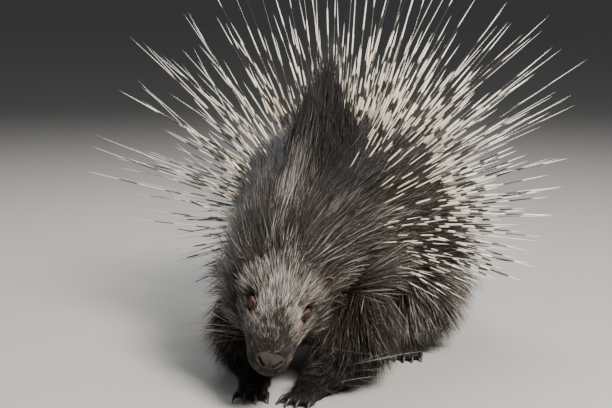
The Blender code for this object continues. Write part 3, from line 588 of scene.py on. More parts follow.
# The nose pad. It is bare pebbled leather, a little moist in life and waxed on a mount, with two
# slanting nostrils and a groove down its middle.
NOSE_AT = (0.1525, 0, 0.007)
NOSE_HALF = (0.01, 0.0175, 0.012)
NOSTRIL_AT = (0.0092, 0.001)
NOSTRIL_HALF = (0.0056, 0.0019)
NOSTRIL_SLANT = radians(38)
NOSTRIL_DEEP = 0.0062
RIM_HIGH = 0.0008
GROOVE_DEEP = 0.0016


def piece_of(name, points, faces, material, slot):
    """An object of the row from points on the solids' measures and lists of like faces."""
    mesh = bpy.data.meshes.new(name)
    mesh.vertices.add(len(points))
    mesh.vertices.foreach_set("co", (points + shift_row).astype(np.float32).ravel())
    corners = np.concatenate([group.ravel() for group in faces])
    sizes = np.concatenate([np.full(len(group), group.shape[1]) for group in faces])
    mesh.loops.add(len(corners))
    mesh.loops.foreach_set("vertex_index", corners.astype(np.int32))
    mesh.polygons.add(len(sizes))
    starts = np.concatenate([[0], np.cumsum(sizes)[:-1]])
    mesh.polygons.foreach_set("loop_start", starts.astype(np.int32))
    mesh.update(calc_edges=True)
    mesh.shade_smooth()
    mesh.materials.append(material)
    made = linked(name, mesh)
    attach(made, "root")
    return made


def fan(start, tip, sides):
    """Triangles from a row of points to one tip."""
    j = np.arange(sides)
    return np.stack([start + j, start + (j + 1) % sides, np.full(sides, tip)], 1)


def closed_grid(rows, sides, flip=False):
    """Faces of rows of points round an axis, with a last point at each end."""
    first = fan(0, rows * sides, sides)[:, ::-1]
    last = fan((rows - 1) * sides, rows * sides + 1, sides)
    groups = [band(rows, sides), np.concatenate([first, last])]
    return [group[:, ::-1] for group in groups] if flip else groups


def round_grid(marks, sides):
    """Each row's mark, and the turn round the axis, for every point of a grid."""
    turns = 2 * pi * np.arange(sides) / sides
    return np.repeat(marks, sides, axis=0), np.tile(turns, len(marks))


def slopes(rows):
    return pi * np.arange(1, rows + 1) / (rows + 1)


def placed(matrix, points, *ends):
    """Points in columns, and single ones after them, on a frame's axes."""
    points = np.vstack([np.stack(points, 1), *ends])
    return points @ np.array(matrix.to_3x3()).T + np.array(matrix.translation)


def nose_finish():
    finish = Finish("nose_leather", 0.3)
    grain = finish.cells(1500)
    patch = finish.noise(160, 3)
    skin = finish.mix((0.04, 0.024, 0.019), (0.018, 0.012, 0.01), patch.rise(0.35, 0.7))
    return finish.feed(
        Base_Color=finish.mix(skin, (0.018, 0.012, 0.011), grain.rise(0.45, 0.9) * 0.7),
        Roughness=0.38 + patch * 0.25,
        Normal=finish.bump(1 - grain, 0.0005),
    )


rows, sides = 44, 72
slope, turn = round_grid(slopes(rows), sides)
forward, height = -np.cos(slope), np.sin(slope) * np.sin(turn)
x, z = NOSE_HALF[0] * forward, NOSE_HALF[2] * height
y = NOSE_HALF[1] * np.sin(slope) * np.cos(turn) * (1 + 0.12 * height)
relief = -GROOVE_DEEP * np.exp(-((y / 0.0011) ** 2)) * (0.7 - height)
for sign in (-1, 1):
    aside, above = y * sign - NOSTRIL_AT[0], z - NOSTRIL_AT[1]
    long = aside * cos(NOSTRIL_SLANT) + above * sin(NOSTRIL_SLANT)
    thin = above * cos(NOSTRIL_SLANT) - aside * sin(NOSTRIL_SLANT)
    hole = np.exp(-((long / NOSTRIL_HALF[0]) ** 4) - (thin / NOSTRIL_HALF[1]) ** 4)
    rim = np.exp(-((long / 0.0078) ** 2) - ((np.abs(thin) - 0.0034) / 0.0016) ** 2)
    relief += RIM_HIGH * rim - NOSTRIL_DEEP * hole
x = x + np.where(forward > -0.2, relief, 0)
nose_place = head_place @ Matrix.Translation(Vector(NOSE_AT))
ends = (-NOSE_HALF[0], 0, 0), (NOSE_HALF[0] - 0.0011, 0, 0)
points = placed(nose_place, (x, y, z), *ends)
piece_of("nose_pad", points, closed_grid(rows, sides), nose_finish(), "bare_skin")

# The lips. The upper and the lower one are narrow rolls of bare skin along the mouth's line, which
# runs round the front of the jaw and back to its corners.
LIP_ROUTE = (
    (0.086, 0.027, -0.031),
    (0.098, 0.024, -0.034),
    (0.112, 0.0205, -0.0345),
    (0.126, 0.016, -0.033),
    (0.136, 0.009, -0.031),
    (0.14, 0, -0.03),
)
LIP_STEPS = 61
LIP_R = 0.0021
LIP_APART = 0.0019
LIP_BEDDED = 0.0009

skin_tree = BVHTree.FromPolygons(vertices.tolist(), triangles.tolist())


def smooth_route(points, count):
    """Even points along a smooth curve through the given ones."""
    points = np.asarray(points, float)
    padded = np.vstack([2 * points[0] - points[1], points, 2 * points[-1] - points[-2]])
    made = []
    for mark in np.linspace(0, len(points) - 1, count):
        i = min(int(mark), len(points) - 2)
        t = mark - i
        a, b, c, d = padded[i : i + 4]
        curve = (2 * a - 5 * b + 4 * c - d) * t**2 + (3 * b - a - 3 * c + d) * t**3
        made.append(0.5 * (2 * b + (c - a) * t + curve))
    return np.array(made)


def roll(route, radii, sides=10):
    """Points and faces of a round roll along a route, closed at both ends."""
    ways = unit(np.gradient(route, axis=0))
    side = unit(np.cross(ways, upward))
    up = np.cross(side, ways)
    marks, turns = round_grid(np.arange(len(route)), sides)
    ring = side[marks] * np.cos(turns)[:, None] + up[marks] * np.sin(turns)[:, None]
    points = route[marks] + ring * radii[marks][:, None]
    return np.vstack([points, route[:1], route[-1:]]), closed_grid(len(route), sides)


def unit(vectors):
    return vectors / np.linalg.norm(vectors, axis=1)[:, None].clip(1e-9, None)


def skin_finish(name, specular, tones, patches, marks, rough, pores, hollow_shade=None, **constants):
    """Bare skin of two tones in patches, with pores, and painted shade, near black, in its hollow."""
    finish = Finish(name, specular, **constants)
    patch = finish.noise(patches, 3)
    skin = finish.mix(*tones, patch.rise(*marks))
    if hollow_shade:
        # Painted shade: the skin is mixed towards near black as far as the named value says the hollow
        # is deep.
        skin = finish.mix(skin, (0.03, 0.019, 0.017), finish.value_of(hollow_shade))
    scale, detail, deep = pores
    bump = finish.bump(finish.noise(scale, detail), deep)
    return finish.feed(Base_Color=skin, Roughness=rough + patch * 0.2, Normal=bump)


lip_skin = skin_finish(
    "lip_skin", 0.45, ((0.085, 0.045, 0.036), (0.03, 0.018, 0.016)), 260, (0.3, 0.7), 0.34,
    (1400, 2, 0.0004)
)
mouth = [on_head(point, 1) for point in LIP_ROUTE]
mouth += [on_head(point, -1) for point in reversed(LIP_ROUTE[:-1])]
for label, sign in (("upper_lip", -1), ("lower_lip", 1)):
    route = []
    for point in smooth_route([tuple(spot) for spot in mouth], LIP_STEPS):
        near, normal, _, _ = skin_tree.find_nearest(Vector(point))
        down = -head_up - normal * (-head_up).dot(normal)
        route.append(tuple(near + down.normalized() * (LIP_APART * sign) - normal * LIP_BEDDED))
    steps = np.arange(LIP_STEPS)
    taper = (np.minimum(steps, steps[::-1]) * 6 / (LIP_STEPS - 1)).clip(0.25, 1)
    points, faces = roll(np.array(route), LIP_R * taper)
    piece_of(label, points, faces, lip_skin, "bare_skin")

# The eyes. Museum eyes are dark glass balls set in clay behind lids of the animal's own skin. They
# are small, nearly black, and rimmed with bare skin.
LID_HALF = (radians(60), radians(41))
LID_PROFILE = (
    (0.8, 0),
    (1.02, 0),
    (1.16, 3),
    (1.25, 9),
    (1.27, 18),
    (1.22, 30),
    (1.12, 45),
    (0.98, 62),
    (0.8, 80),
)


def globe(slope, turn, size):
    """Points at those angles about the eye's own Y axis."""
    return np.sin(slope) * np.cos(turn) * size, np.cos(slope) * size, np.sin(slope) * np.sin(turn) * size


def eye_finish():
    finish = Finish("eye_glass", 0.12, Coat_Weight=0.22, Coat_Roughness=0.02)
    gaze = finish.value_of("gaze")
    iris = finish.mix((0.03, 0.014, 0.007), (0.055, 0.028, 0.014), finish.noise(2200, 3))
    ring = finish.mix((0.004, 0.003, 0.003), iris, gaze.rise(0.94, 0.9))
    return finish.feed(
        Base_Color=finish.mix((0.012, 0.008, 0.007), ring, gaze.rise(0.55, 0.66)),
        Roughness=0.05 + finish.noise(600) * 0.03,
    )


eye_glass = eye_finish()
lid_skin = skin_finish(
    "lid_skin", 0.4, ((0.08, 0.036, 0.026), (0.03, 0.018, 0.015)), 420, (0.35, 0.72), 0.42,
    (2600, 3, 0.0003)
)
for name, sign in SIGNS:
    rows, sides = 30, 40
    slope, turn = round_grid(slopes(rows), sides)
    gaze = -np.cos(slope)
    size = EYE_R * (1 + 0.05 * ((gaze - 0.8) / 0.2).clip(0, None))
    x, y, z = globe(slope, turn, size)
    ends = (0, -EYE_R * sign, 0), (0, EYE_R * 1.05 * sign, 0)
    points = placed(eye_frame(sign), (x, -y * sign, z), *ends)
    eye = piece_of(f"eye_{name}_glass", points, closed_grid(rows, sides, sign < 0), eye_glass, "eye")
    add_values(eye.data, "gaze", np.append(gaze, (-1, 1)))
    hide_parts(f"eye_{name}")

    sides = 56
    marks, turn = round_grid(LID_PROFILE, sides)
    reach, past = marks.T
    wide = np.abs(np.cos(turn)) ** 1.3 * LID_HALF[0] + np.abs(np.sin(turn)) ** 1.3 * LID_HALF[1]
    slope = wide + np.radians(past) * (1 - wide / radians(150))
    size = EYE_R * reach * (1 + 0.035 * np.sin(21 * slope) * (past > 3))
    x, y, z = globe(slope, turn, size)
    points = placed(eye_frame(sign), (x, y * sign, z), (0, 0, 0), (0, -0.001 * sign, 0))
    faces = closed_grid(len(LID_PROFILE), sides, sign > 0)
    piece_of(f"eyelids_{name}", points, faces, lid_skin, "bare_skin")

# The ears. They are small thin cups of bare skin, half hidden in the coat of the cheek and nape,
# and are dried over a thin former in a mount.
EAR_AT = (0.022, 0.046, 0.014)
EAR_TILT = radians(28)
EAR_HALF = (0.0128, 0.0186)
EAR_RISE = 0.006
EAR_THICK = 0.0016
EAR_SHARES = (0.12, 0.3, 0.48, 0.64, 0.78, 0.88, 0.95, 1)

ear_skin = skin_finish(
    "ear_skin", 0.35, ((0.155, 0.09, 0.07), (0.07, 0.042, 0.036)), 150, (0.35, 0.7), 0.5,
    (1100, 3, 0.0004), "deep", Subsurface_Weight=0.08
)
for name, sign in SIGNS:
    tilt = Matrix.Rotation(EAR_TILT * sign, 4, "Z") @ Matrix.Rotation(-EAR_TILT * sign, 4, "X")
    ear_place = head_place @ Matrix.Translation(mirrored(EAR_AT, sign)) @ tilt
    sides = 44
    plan = [(share, 0) for share in EAR_SHARES] + [(share, 1) for share in reversed(EAR_SHARES)]
    marks, turn = round_grid(plan, sides)
    share, back = marks.T
    notch = 1 - 0.1 * np.exp(-(((turn - pi * 1.5) / 0.5) ** 2))
    rim = np.exp(-(((share - 0.95) / 0.07) ** 2))
    cup = 0.0022 - 0.0056 * (1 - share**2) + 0.0011 * rim
    ribs = 0.0004 * np.sin(5 * turn) * share * (1 - share)
    x = cup + ribs - EAR_THICK * np.where(share < 0.9, 1, 0.62) * back
    y = EAR_HALF[0] * share * notch * np.cos(turn)
    z = EAR_RISE + EAR_HALF[1] * share * notch * np.sin(turn)
    ends = (-0.0034, 0, EAR_RISE), (-0.0034 - EAR_THICK, 0, EAR_RISE)
    points = placed(ear_place, (x, y, z), *ends)
    ear = piece_of(f"ear_{name}_cup", points, closed_grid(len(plan), sides), ear_skin, "bare_skin")
    # This value paints the middle of the cup's inside near black: painted shade in the hollow of the
    # ear.
    add_values(ear.data, "deep", np.append((1 - share * 1.25).clip(0, None) * (1 - back), (1, 0)))
    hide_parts(f"ear_{name}")

# The claws. They are blunt curved horn, four on a fore foot and five on a hind foot, and stay on
# the skin when it is mounted.
CLAW_SIZES = {"fore": (0.017, 0.003), "hind": (0.015, 0.0032)}
CLAW_RISE = 0.0092
CLAW_BEND = radians(34)


def claw_finish():
    finish = Finish("claw_horn", 0.5)
    along = finish.value_of("along")
    streaks = finish.noise(700, 3)
    horn = finish.mix((0.018, 0.013, 0.011), (0.042, 0.031, 0.023), along.rise(0.55, 1))
    return finish.feed(
        Base_Color=finish.mix(horn, (0.018, 0.013, 0.011), streaks.rise(0.45, 0.75) * 0.6),
        Roughness=0.32 + streaks * 0.22,
        Normal=finish.bump(streaks, 0.0003),
    )


claw_horn = claw_finish()
for label, sign, pad, place, turn, plan in FEET:
    length, radius = CLAW_SIZES[label[:4]]
    rows, sides = 9, 12
    claw_faces = closed_grid(rows, sides)
    points, faces, shares = [], [], []
    for toe in toe_frames(pad, place, turn, sign, plan):
        way = (toe.to_3x3() @ -backward).normalized()
        root = toe @ Vector((0, -plan[3][1] * 1.05, CLAW_RISE - TOE_RISE))
        side = way.cross(upward).normalized()
        faces += [group + len(points) for group in claw_faces]
        for i in range(rows):
            share = i / rows
            heading = way * cos(CLAW_BEND * share) - upward * sin(CLAW_BEND * share)
            up = side.cross(heading).normalized()
            thick = radius * (1 - share**1.9) * (1.08 - 0.08 * share)
            centre = root + heading * (length * share)
            points += oval(centre, side, up, thick * 0.78, thick * 1.05, thick, sides)
            shares += [share] * sides
        tip = way * cos(CLAW_BEND) - upward * sin(CLAW_BEND)
        points += [root, root + tip * length * 0.98]
        shares += [0, 1]
    points = np.array([tuple(point) for point in points])
    points[:, 2] = points[:, 2].clip(FLOOR_SINK + 0.0002, None)
    claws = piece_of(f"claws_{label}", points, faces, claw_horn, "bare_skin")
    add_values(claws.data, "along", np.array(shares))

# The coat. The animal wears stiff flat bristles instead of soft fur: a few millimetres long on the
# muzzle, as long as a hand on the flanks. They lie back from the nose to the tail, overlap like
# thatch, and have pale tips. Each bristle is a closed three-sided blade rooted in the hide.
SEED = 41
POOL = 900000
MAP_PATCH = 0.003
BRISTLE_FLAT = 0.36
BRISTLE_ROOM = 0.0012
draw = np.random.default_rng(SEED)


def sow(count):
    """That many places on the hide, spread evenly by area."""
    corner = vertices[triangles]
    sizes = np.linalg.norm(np.cross(corner[:, 1] - corner[:, 0], corner[:, 2] - corner[:, 0]), axis=1)
    steps = (np.arange(count) + draw.random(count)) / count
    face = np.searchsorted(np.cumsum(sizes) / sizes.sum(), steps).clip(0, len(triangles) - 1)
    a, b = draw.random((2, count))
    over = a + b > 1
    a, b = np.where(over, 1 - a, a), np.where(over, 1 - b, b)
    shares = np.stack([1 - a - b, a, b], 1)[:, :, None]
    found = (corner[face] * shares).sum(1)
    out = unit((normals[triangles[face]] * shares).sum(1))
    return Places(found, out), sizes.sum() / 2


def blades(name, root, way, bend, length, width, thick, flat, rings, values, spots, finish, slot,
           sides=3, sink=0.0015):
    """Closed tapering blades: rings are (share of the length, share of the width)."""
    count = len(root)
    across = unit(np.cross(way, flat))
    width, thick = (np.broadcast_to(size, count) for size in (width, thick))
    turns = pi / 2 + 2 * pi * np.arange(sides) / sides
    rows = []
    for share, wide in rings:
        centre = root + way * (share * (length + sink) - sink)[:, None] + bend * share**2
        heading = unit(way * length[:, None] + 2 * share * bend)
        side = unit(across - heading * (across * heading).sum(1)[:, None])
        up = np.cross(side, heading) * (thick * wide)[:, None]
        side = side * (width * wide)[:, None]
        ring = side[:, None] * np.cos(turns)[:, None] + up[:, None] * np.sin(turns)[:, None]
        rows.append(centre[:, None] + ring)
    tip = root + way * length[:, None] + bend
    places = np.concatenate([*rows, tip[:, None]], axis=1)
    each = places.shape[1]
    start = (np.arange(count) * each)[:, None, None]
    kinds = band(len(rings), sides), fan(each - 1 - sides, each - 1, sides), np.arange(sides)[None, ::-1]
    faces = [(group + start).reshape(-1, group.shape[1]) for group in kinds]
    made = piece_of(name, places.reshape(-1, 3), faces, finish, slot)
    along = np.append(np.repeat([share for share, _ in rings], sides), 1)
    filled = np.empty((count, each, 3))
    filled[:, :, 0] = along
    filled[:, :, 1:] = values[:, None]
    add_values(made.data, "strand", filled.reshape(-1, 3))
    steps = np.tile(np.arange(sides), len(rings))
    lean, tilt = np.append(steps / sides, 0.5), np.append(0.08 * (steps % 2), 0)
    patch = np.stack([lean, (along + tilt) / 1.08], 1) * MAP_PATCH
    on_map = ((spots * (1 - MAP_PATCH))[:, None] + patch).reshape(-1, 2)
    layer = made.data.uv_layers.new(name="OFBake")
    corners = read(made.data.loops, "vertex_index", 1, np.int32)[:, 0]
    layer.uv.foreach_set("vector", on_map[corners].astype(np.float32).ravel())
    return made


def chain_walk(part, places, slope=False):
    """The middle of a limb, or the way that it runs, beside each place."""
    table = np.array([centre for centre, _ in CHAINS[part]])
    table = np.gradient(table, axis=0) if slope else table
    marks = np.linspace(0, 1, len(table))
    return np.stack([interp(places.along, marks, column) for column in table.T], 1)


def map_spots(places):
    """Each root's place on an unwrap of the hide: round each part, and along it."""
    on_skull = places.on("head")
    turn = np.where(on_skull, places.head_around / (2 * pi), places.around / 360) + 0.5
    row = np.where(on_skull, (places.head_x + 0.04) / 0.21, (places.y + 0.215) / 0.56)
    spots = np.stack([turn, row], 1)
    for i, part in enumerate(LEGS):
        chosen = places.part == PARTS.index(part)
        off = places.at - chain_walk(part, places)
        round_leg = np.arctan2(off[:, 0], off[:, 1]) / (2 * pi) + 0.5
        spots[chosen] = np.stack([(i + round_leg) / 4, places.along], 1)[chosen]
    return spots.clip(0, 1)


def bristle_finish():
    finish = Finish("bristle", 0.28)
    along, tint, dark = finish.parts_of("strand")
    grain = finish.noise(700, 2)
    # The dark share darkens the bristles; it includes painted shade under the quills and on the muzzle's
    # sides.
    body = finish.mix((0.042, 0.031, 0.024), (0.007, 0.0055, 0.005), dark)
    root = finish.mix(body, (0.009, 0.007, 0.006), (1 - along.rise(0.05, 0.42)) * 0.8)
    pale = finish.mix((0.3, 0.25, 0.2), (0.8, 0.76, 0.7), tint.rise(0.55, 1))
    reach = along.rise(0.34, 0.8) * tint.rise(0.38, 0.64) * (1 - dark * 0.82)
    shade = finish.mix(root, pale, reach)
    return finish.feed(
        Base_Color=finish.mix(shade, (0.055, 0.036, 0.026), grain.rise(0.5, 0.8) * 0.35),
        Roughness=0.36 + grain * 0.18,
        Normal=finish.bump(grain, 0.0002),
    )


bristle = bristle_finish()
pool, hide_area = sow(POOL)
pool_density = POOL / hide_area


def cell_noise(points, size, width):
    """A random row of numbers for each small cell of space, so that neighbours clump."""
    cell = np.floor(points / size).astype(np.int64)
    key = (cell[:, 0] * 73856093) ^ (cell[:, 1] * 19349663) ^ (cell[:, 2] * 83492791)
    table = np.random.default_rng(SEED + width).standard_normal((4099, width))
    return table[key % 4099]


def lie_of_coat(places):
    """The way the coat lies at each place, along the skin."""
    flow = np.tile(backward, (len(places.at), 1))
    flow[:, 2] = interp(np.abs(places.around), (20, 70, 105, 150), (0.3, 0.1, -0.25, -0.55))
    flow += places.at * (1, 0, 0) * 1.5
    face = -head_turn[:, 0] + head_turn[:, 1] * (places.head_y[:, None] * 6)
    flow = np.where(places.on("head")[:, None], face, flow)
    for part in LEGS:
        down = unit(chain_walk(part, places, slope=True))
        down = down + np.array((0, 0.3, 0)) * (places.z[:, None] > 0.035)
        flow = np.where((places.part == PARTS.index(part))[:, None], down, flow)
    return unit(flow - places.out * (flow * places.out).sum(1)[:, None])


def face_clear(places):
    """Leaves the nose pad, the lids and most of the bare patch free."""
    nose_gap = np.linalg.norm((places.head - NOSE_AT) / (np.array(NOSE_HALF) * 1.06), axis=1)
    clear = (nose_gap > 0.92) & (gap_to(places.at, EYE_AT) > EYE_R * 1.3)
    return clear & (bare_patch(places.at) < 0.55)


LOW_CORNER = np.array(cad_low) - shift_row
HIGH_CORNER = np.array(cad_high) - shift_row


def within_box(root, way, length):
    """Shortens what would pass the solids' box."""
    ahead = (HIGH_CORNER - root) / way.clip(1e-6, None)
    behind = (LOW_CORNER - root) / way.clip(None, -1e-6)
    room = np.where(way > 0, ahead, behind)
    return np.minimum(length, room.min(1).clip(0.002, None))


def clear_of_eyes(root, way, length):
    """Shortens the bristles that would lie over an eye."""
    kept = np.ones(len(root))
    for _, sign in SIGNS:
        front = np.array(eye_frame(sign).col[1].to_3d()) * (sign * EYE_R * 0.7)
        front = np.array(on_head(EYE_AT, sign)) + front
        for share in (1, 0.8, 0.6, 0.4, 0.2):
            point = root + way * (length * share)[:, None]
            over = np.linalg.norm(point - front, axis=1) < EYE_R * 1.62
            kept = np.where(over, share * 0.55, kept)
    return length * kept


def frost(places):
    """How much paler the bristles' tips are: most on the forehead, not on chest and legs."""
    marks = (-0.02, 0.03, 0.06, 0.088, 0.112, 0.132, 0.16)
    face = interp(places.head_x, marks, (-0.04, -0.04, 0.04, 0.3, 0.46, 0.06, -0.14))
    face = face * interp(np.abs(places.head_around), (0.6, 1.6), (1, 0.4))
    body = interp(np.abs(places.around), (15, 45, 100, 140), (-0.16, 0.04, 0.06, -0.15))
    body = body + interp(places.y, (-0.19, -0.13, -0.03), (0.02, -0.02, -0.04))
    body = np.where(places.on(*LEGS), np.where(places.y > -0.02, 0.12, -0.15), body)
    return np.where(places.on("head"), face, body)


def grow_coat(name, wanted, density, sizes, rings, droop, clump, spread):
    """Bristles over a part of the hide, as dense, long and raised as the fields say."""
    picked = pool.pick(draw.random(POOL) < np.where(wanted, density / pool_density, 0))
    length, lift, width = sizes(picked)
    count = len(picked.at)
    lie = lie_of_coat(picked)
    side = np.cross(picked.out, lie)
    swing = cell_noise(picked.at, 0.011, 2) * clump + draw.standard_normal((count, 2)) * spread
    lie = unit(lie + side * swing[:, :1])
    lift = lift + swing[:, 1] * 0.45
    way = unit(lie * np.cos(lift)[:, None] + picked.out * np.sin(lift)[:, None])
    length = length * draw.uniform(0.72, 1.12, count)
    bend = lie * (length * 0.1)[:, None] - picked.out * (length * droop)[:, None]
    length = clear_of_eyes(picked.at, way, within_box(picked.at, way, length))
    tip_drop = -(way[:, 2] * length + bend[:, 2])
    room = (picked.z - FLOOR_SINK - BRISTLE_ROOM).clip(0, None)
    fit = np.where(tip_drop > room, room / tip_drop.clip(1e-6, None), 1)
    keep = fit > 0.25
    length, bend = length * fit, bend * fit[:, None]
    tint = 0.33 + 0.1 * cell_noise(picked.at, 0.016, 3)[:, 0] + 0.22 * draw.standard_normal(count)
    tint = tint + 0.18 * cell_noise(picked.at, 0.0045, 5)[:, 0] + frost(picked)
    values = np.stack([tint.clip(0, 1), dark_and_shade_share(picked)], 1)
    chosen = [picked.at, way, bend, length, width, width * BRISTLE_FLAT, picked.out]
    chosen = [column[keep] for column in chosen]
    blades(name, *chosen, rings, values[keep], map_spots(picked)[keep], bristle, "bristly_hide")


SHORT = ((0, 0.9), (0.55, 0.8))
LONG = ((0, 0.8), (0.35, 1), (0.72, 0.7))
TAIL_HAIR = 0.026


def face_sizes(places):
    """The length, lift and half width of the bristles at each place, as in the next three."""
    marks = (-0.02, 0.02, 0.05, 0.08, 0.11, 0.14, 0.16)
    length = interp(places.head_x, marks, (0.088, 0.076, 0.052, 0.031, 0.019, 0.0105, 0.006))
    length = length * interp(places.head_z, (-0.04, 0), (0.85, 1))
    lift = np.radians(interp(places.head_x, (0, 0.05, 0.1, 0.158), (30, 24, 17, 13)))
    return length, lift, interp(places.head_x, (0, 0.08, 0.158), (0.0005, 0.00042, 0.00036))


def trunk_sizes(places):
    angle, marks = np.abs(places.around), (20, 55, 90, 125, 160)
    length = interp(angle, marks, (0.078, 0.09, 0.082, 0.07, 0.062))
    length = length * interp(places.y, (-0.19, -0.1, 0, 0.1, 0.25), (0.95, 1, 0.95, 0.72, 0.58))
    lift = np.radians(interp(angle, marks, (26, 24, 18, 26, 36)))
    lift = lift * interp(places.y, (-0.19, -0.06, 0.05), (0.85, 1, 0.95))
    return length, lift, interp(places.y, (-0.1, 0), (0.00048, 0.00056))


def leg_sizes(places):
    length = interp(places.z, (0, 0.02, 0.045, 0.09, 0.14), (0.006, 0.012, 0.04, 0.066, 0.07))
    lift = np.radians(interp(places.z, (0, 0.03, 0.1), (14, 24, 32)))
    return length, lift, interp(places.z, (0, 0.06, 0.12), (0.0004, 0.0005, 0.00056))


def tail_sizes(places):
    _, lift, width = leg_sizes(places)
    return np.full(len(places.at), TAIL_HAIR), lift, width


on_face = pool.on("head") & face_clear(pool)
front_face = pool.head_x > 0.072
on_trunk = pool.on("trunk")
round_about = np.abs(pool.around)
right = pool.x < 0
neck = on_trunk & (pool.y < -0.105)
shoulder = on_trunk & (pool.y >= -0.105) & (pool.y < -0.012)
rear = on_trunk & (pool.y >= -0.012)
flank = rear & (round_about > 84)
on_leg = pool.on(*LEGS) & (pool.z > 0.0045)
feet = on_leg & (pool.z < 0.034)
on_fores = on_leg & ~feet & pool.on("fore_right", "fore_left")
on_hinds = on_leg & ~feet & pool.on("hind_right", "hind_left")
BODY_LIE = (0.1, 0.13, 0.13)
LEG_LIE = (0.1, 0.2, 0.18)
COAT = [
    ("coat_muzzle", on_face & front_face, 640000, face_sizes, SHORT, (0.06, 0.08, 0.13)),
    ("coat_brow_and_cheeks", on_face & ~front_face, 640000, face_sizes, LONG, (0.09, 0.12, 0.14)),
]
PAIRS = (("neck", neck, 250000), ("shoulder", shoulder, 250000), ("flank", flank, 145000))
for name, mask, density in PAIRS:
    COAT.append((f"coat_{name}_right", mask & right, density, trunk_sizes, LONG, BODY_LIE))
    COAT.append((f"coat_{name}_left", mask & ~right, density, trunk_sizes, LONG, BODY_LIE))
COAT += [
    ("coat_under_quills", rear & (round_about <= 84), 70000, trunk_sizes, LONG, BODY_LIE),
    ("coat_feet", feet, 330000, leg_sizes, SHORT, (0.06, 0.08, 0.12)),
    ("coat_fore_legs", on_fores, 190000, leg_sizes, LONG, LEG_LIE),
    ("coat_hind_legs", on_hinds, 190000, leg_sizes, LONG, LEG_LIE),
    ("coat_tail", pool.on("tail"), 200000, tail_sizes, LONG, (0.05, 0.1, 0.12)),
]
for name, mask, density, sizes, rings, lie in COAT:
    grow_coat(name, mask, density, sizes, rings, *lie)

# The crest. Long limp bristles stand up from the crown, the nape and the shoulders and lean to the
# rear. They are dark, with some pale ones among them, and draw together into a wedge.
CREST_HALF = 27
CREST_PLAN = np.array(
    ((-0.178, 0.102, 30), (-0.12, 0.132, 22), (-0.07, 0.154, 12), (-0.024, 0.16, 4))
)
CROWN_PLAN = np.array(((0.024, 0.092, 30), (0.038, 0.07, 34), (0.056, 0.046, 40)))
CREST_DENSITY = 150000
CREST_DRAWN_IN = 0.34
CREST_DROP = 0.62
CREST_WIDTH = 0.00056
CREST_THICK = 0.00032
CREST_RINGS = ((0, 0.9), (0.22, 1), (0.48, 0.85), (0.76, 0.55))
crown = pool.on("head") & (pool.head_x < 0.06) & (np.abs(np.degrees(pool.head_around)) < CREST_HALF)
nape = on_trunk & (round_about < CREST_HALF) & (pool.y < -0.004) & (pool.z > 0.15)
picked = pool.pick(draw.random(POOL) < np.where(crown | nape, CREST_DENSITY / pool_density, 0))
on_crown = picked.on("head")
count = len(picked.at)


def crest_plan(k):
    head = interp(picked.head_x, CROWN_PLAN[:, 0], CROWN_PLAN[:, k])
    return np.where(on_crown, head, interp(picked.y, CREST_PLAN[:, 0], CREST_PLAN[:, k]))


def fanned(swing, lean):
    """Ways that swing to the sides by one angle and lean to the rear by the other."""
    out = np.stack([np.sin(swing), np.zeros(len(swing)), np.cos(swing)], 1)
    return unit(out * np.cos(lean)[:, None] + np.array(backward) * np.sin(lean)[:, None])


lean = np.radians(crest_plan(2) + draw.normal(0, 4, count))
swing = np.where(on_crown, picked.head_around, np.radians(picked.around)) * -CREST_DRAWN_IN
swing = swing + draw.normal(0, 0.03, count) + cell_noise(picked.at, 0.014, 4)[:, 0] * 0.03 + 0.03
way = fanned(swing, lean)
aside = np.where(on_crown, np.degrees(picked.head_around), picked.around) / CREST_HALF
length = crest_plan(1) * (1 - CREST_DROP * np.abs(aside) ** 1.3)
length = within_box(picked.at, way, length * draw.uniform(0.62, 1.06, count))
bend = np.array(backward) * (length * draw.uniform(0.05, 0.16, count))[:, None]
bend = bend + draw.normal(0, 0.012, (count, 3)) * length[:, None]
low_part = interp(picked.y, (-0.22, -0.1), (0.4, 0))
deep = interp(picked.y, (-0.21, -0.12), (0.2, 1))
tint = (draw.uniform(0, 0.55, count) + low_part + (draw.random(count) > 0.93) * 0.35).clip(0, 1)
blades(
    "crest_bristles", picked.at, way, bend, length, CREST_WIDTH, CREST_THICK, backward, CREST_RINGS,
    np.stack([tint, deep], 1), map_spots(picked), bristle, "bristly_hide", sink=0.003
)

# The quills. They are hollow, smooth, round spines of horn that taper at both ends: long slender
# ones and short stout ones on the back, raised in a fan, and short thick ones over the rump. They
# are banded in blackish brown and cream, and each sits in a follicle of the hide.
QUILL_PLAN = np.array(
    (
        (-0.085, 0.185, 0.001, 12),
        (-0.05, 0.262, 0.0012, 8),
        (-0.015, 0.302, 0.0014, 4),
        (0.005, 0.318, 0.0015, 3),
        (0.06, 0.33, 0.0017, 12),
        (0.13, 0.3, 0.002, 28),
        (0.19, 0.21, 0.0026, 46),
        (0.255, 0.14, 0.003, 66),
    )
)
FALL_ANGLES = (-112, -100, -85, -72, -50, -28, 0, 40, 62, 80, 112)
FALL_SHARES = (0.42, 0.62, 0.88, 0.96, 0.92, 0.92, 1, 0.89, 0.82, 0.6, 0.38)
QUILL_SPLAY = 1.06
QUILL_REACH = 114
QUILL_APART = 0.0098
QUILL_THINNER = 0.86
QUILL_ROWS = (-0.088, -0.02, 0.05, 0.12, 0.2)
QUILL_SHARES = (0.34, 0.42, 0.48, 0.6, 0.9)
QUILL_RINGS = (
    (0, 0.42), (0.035, 0.62), (0.12, 0.9), (0.3, 1), (0.55, 0.84), (0.78, 0.55), (0.93, 0.24)
)


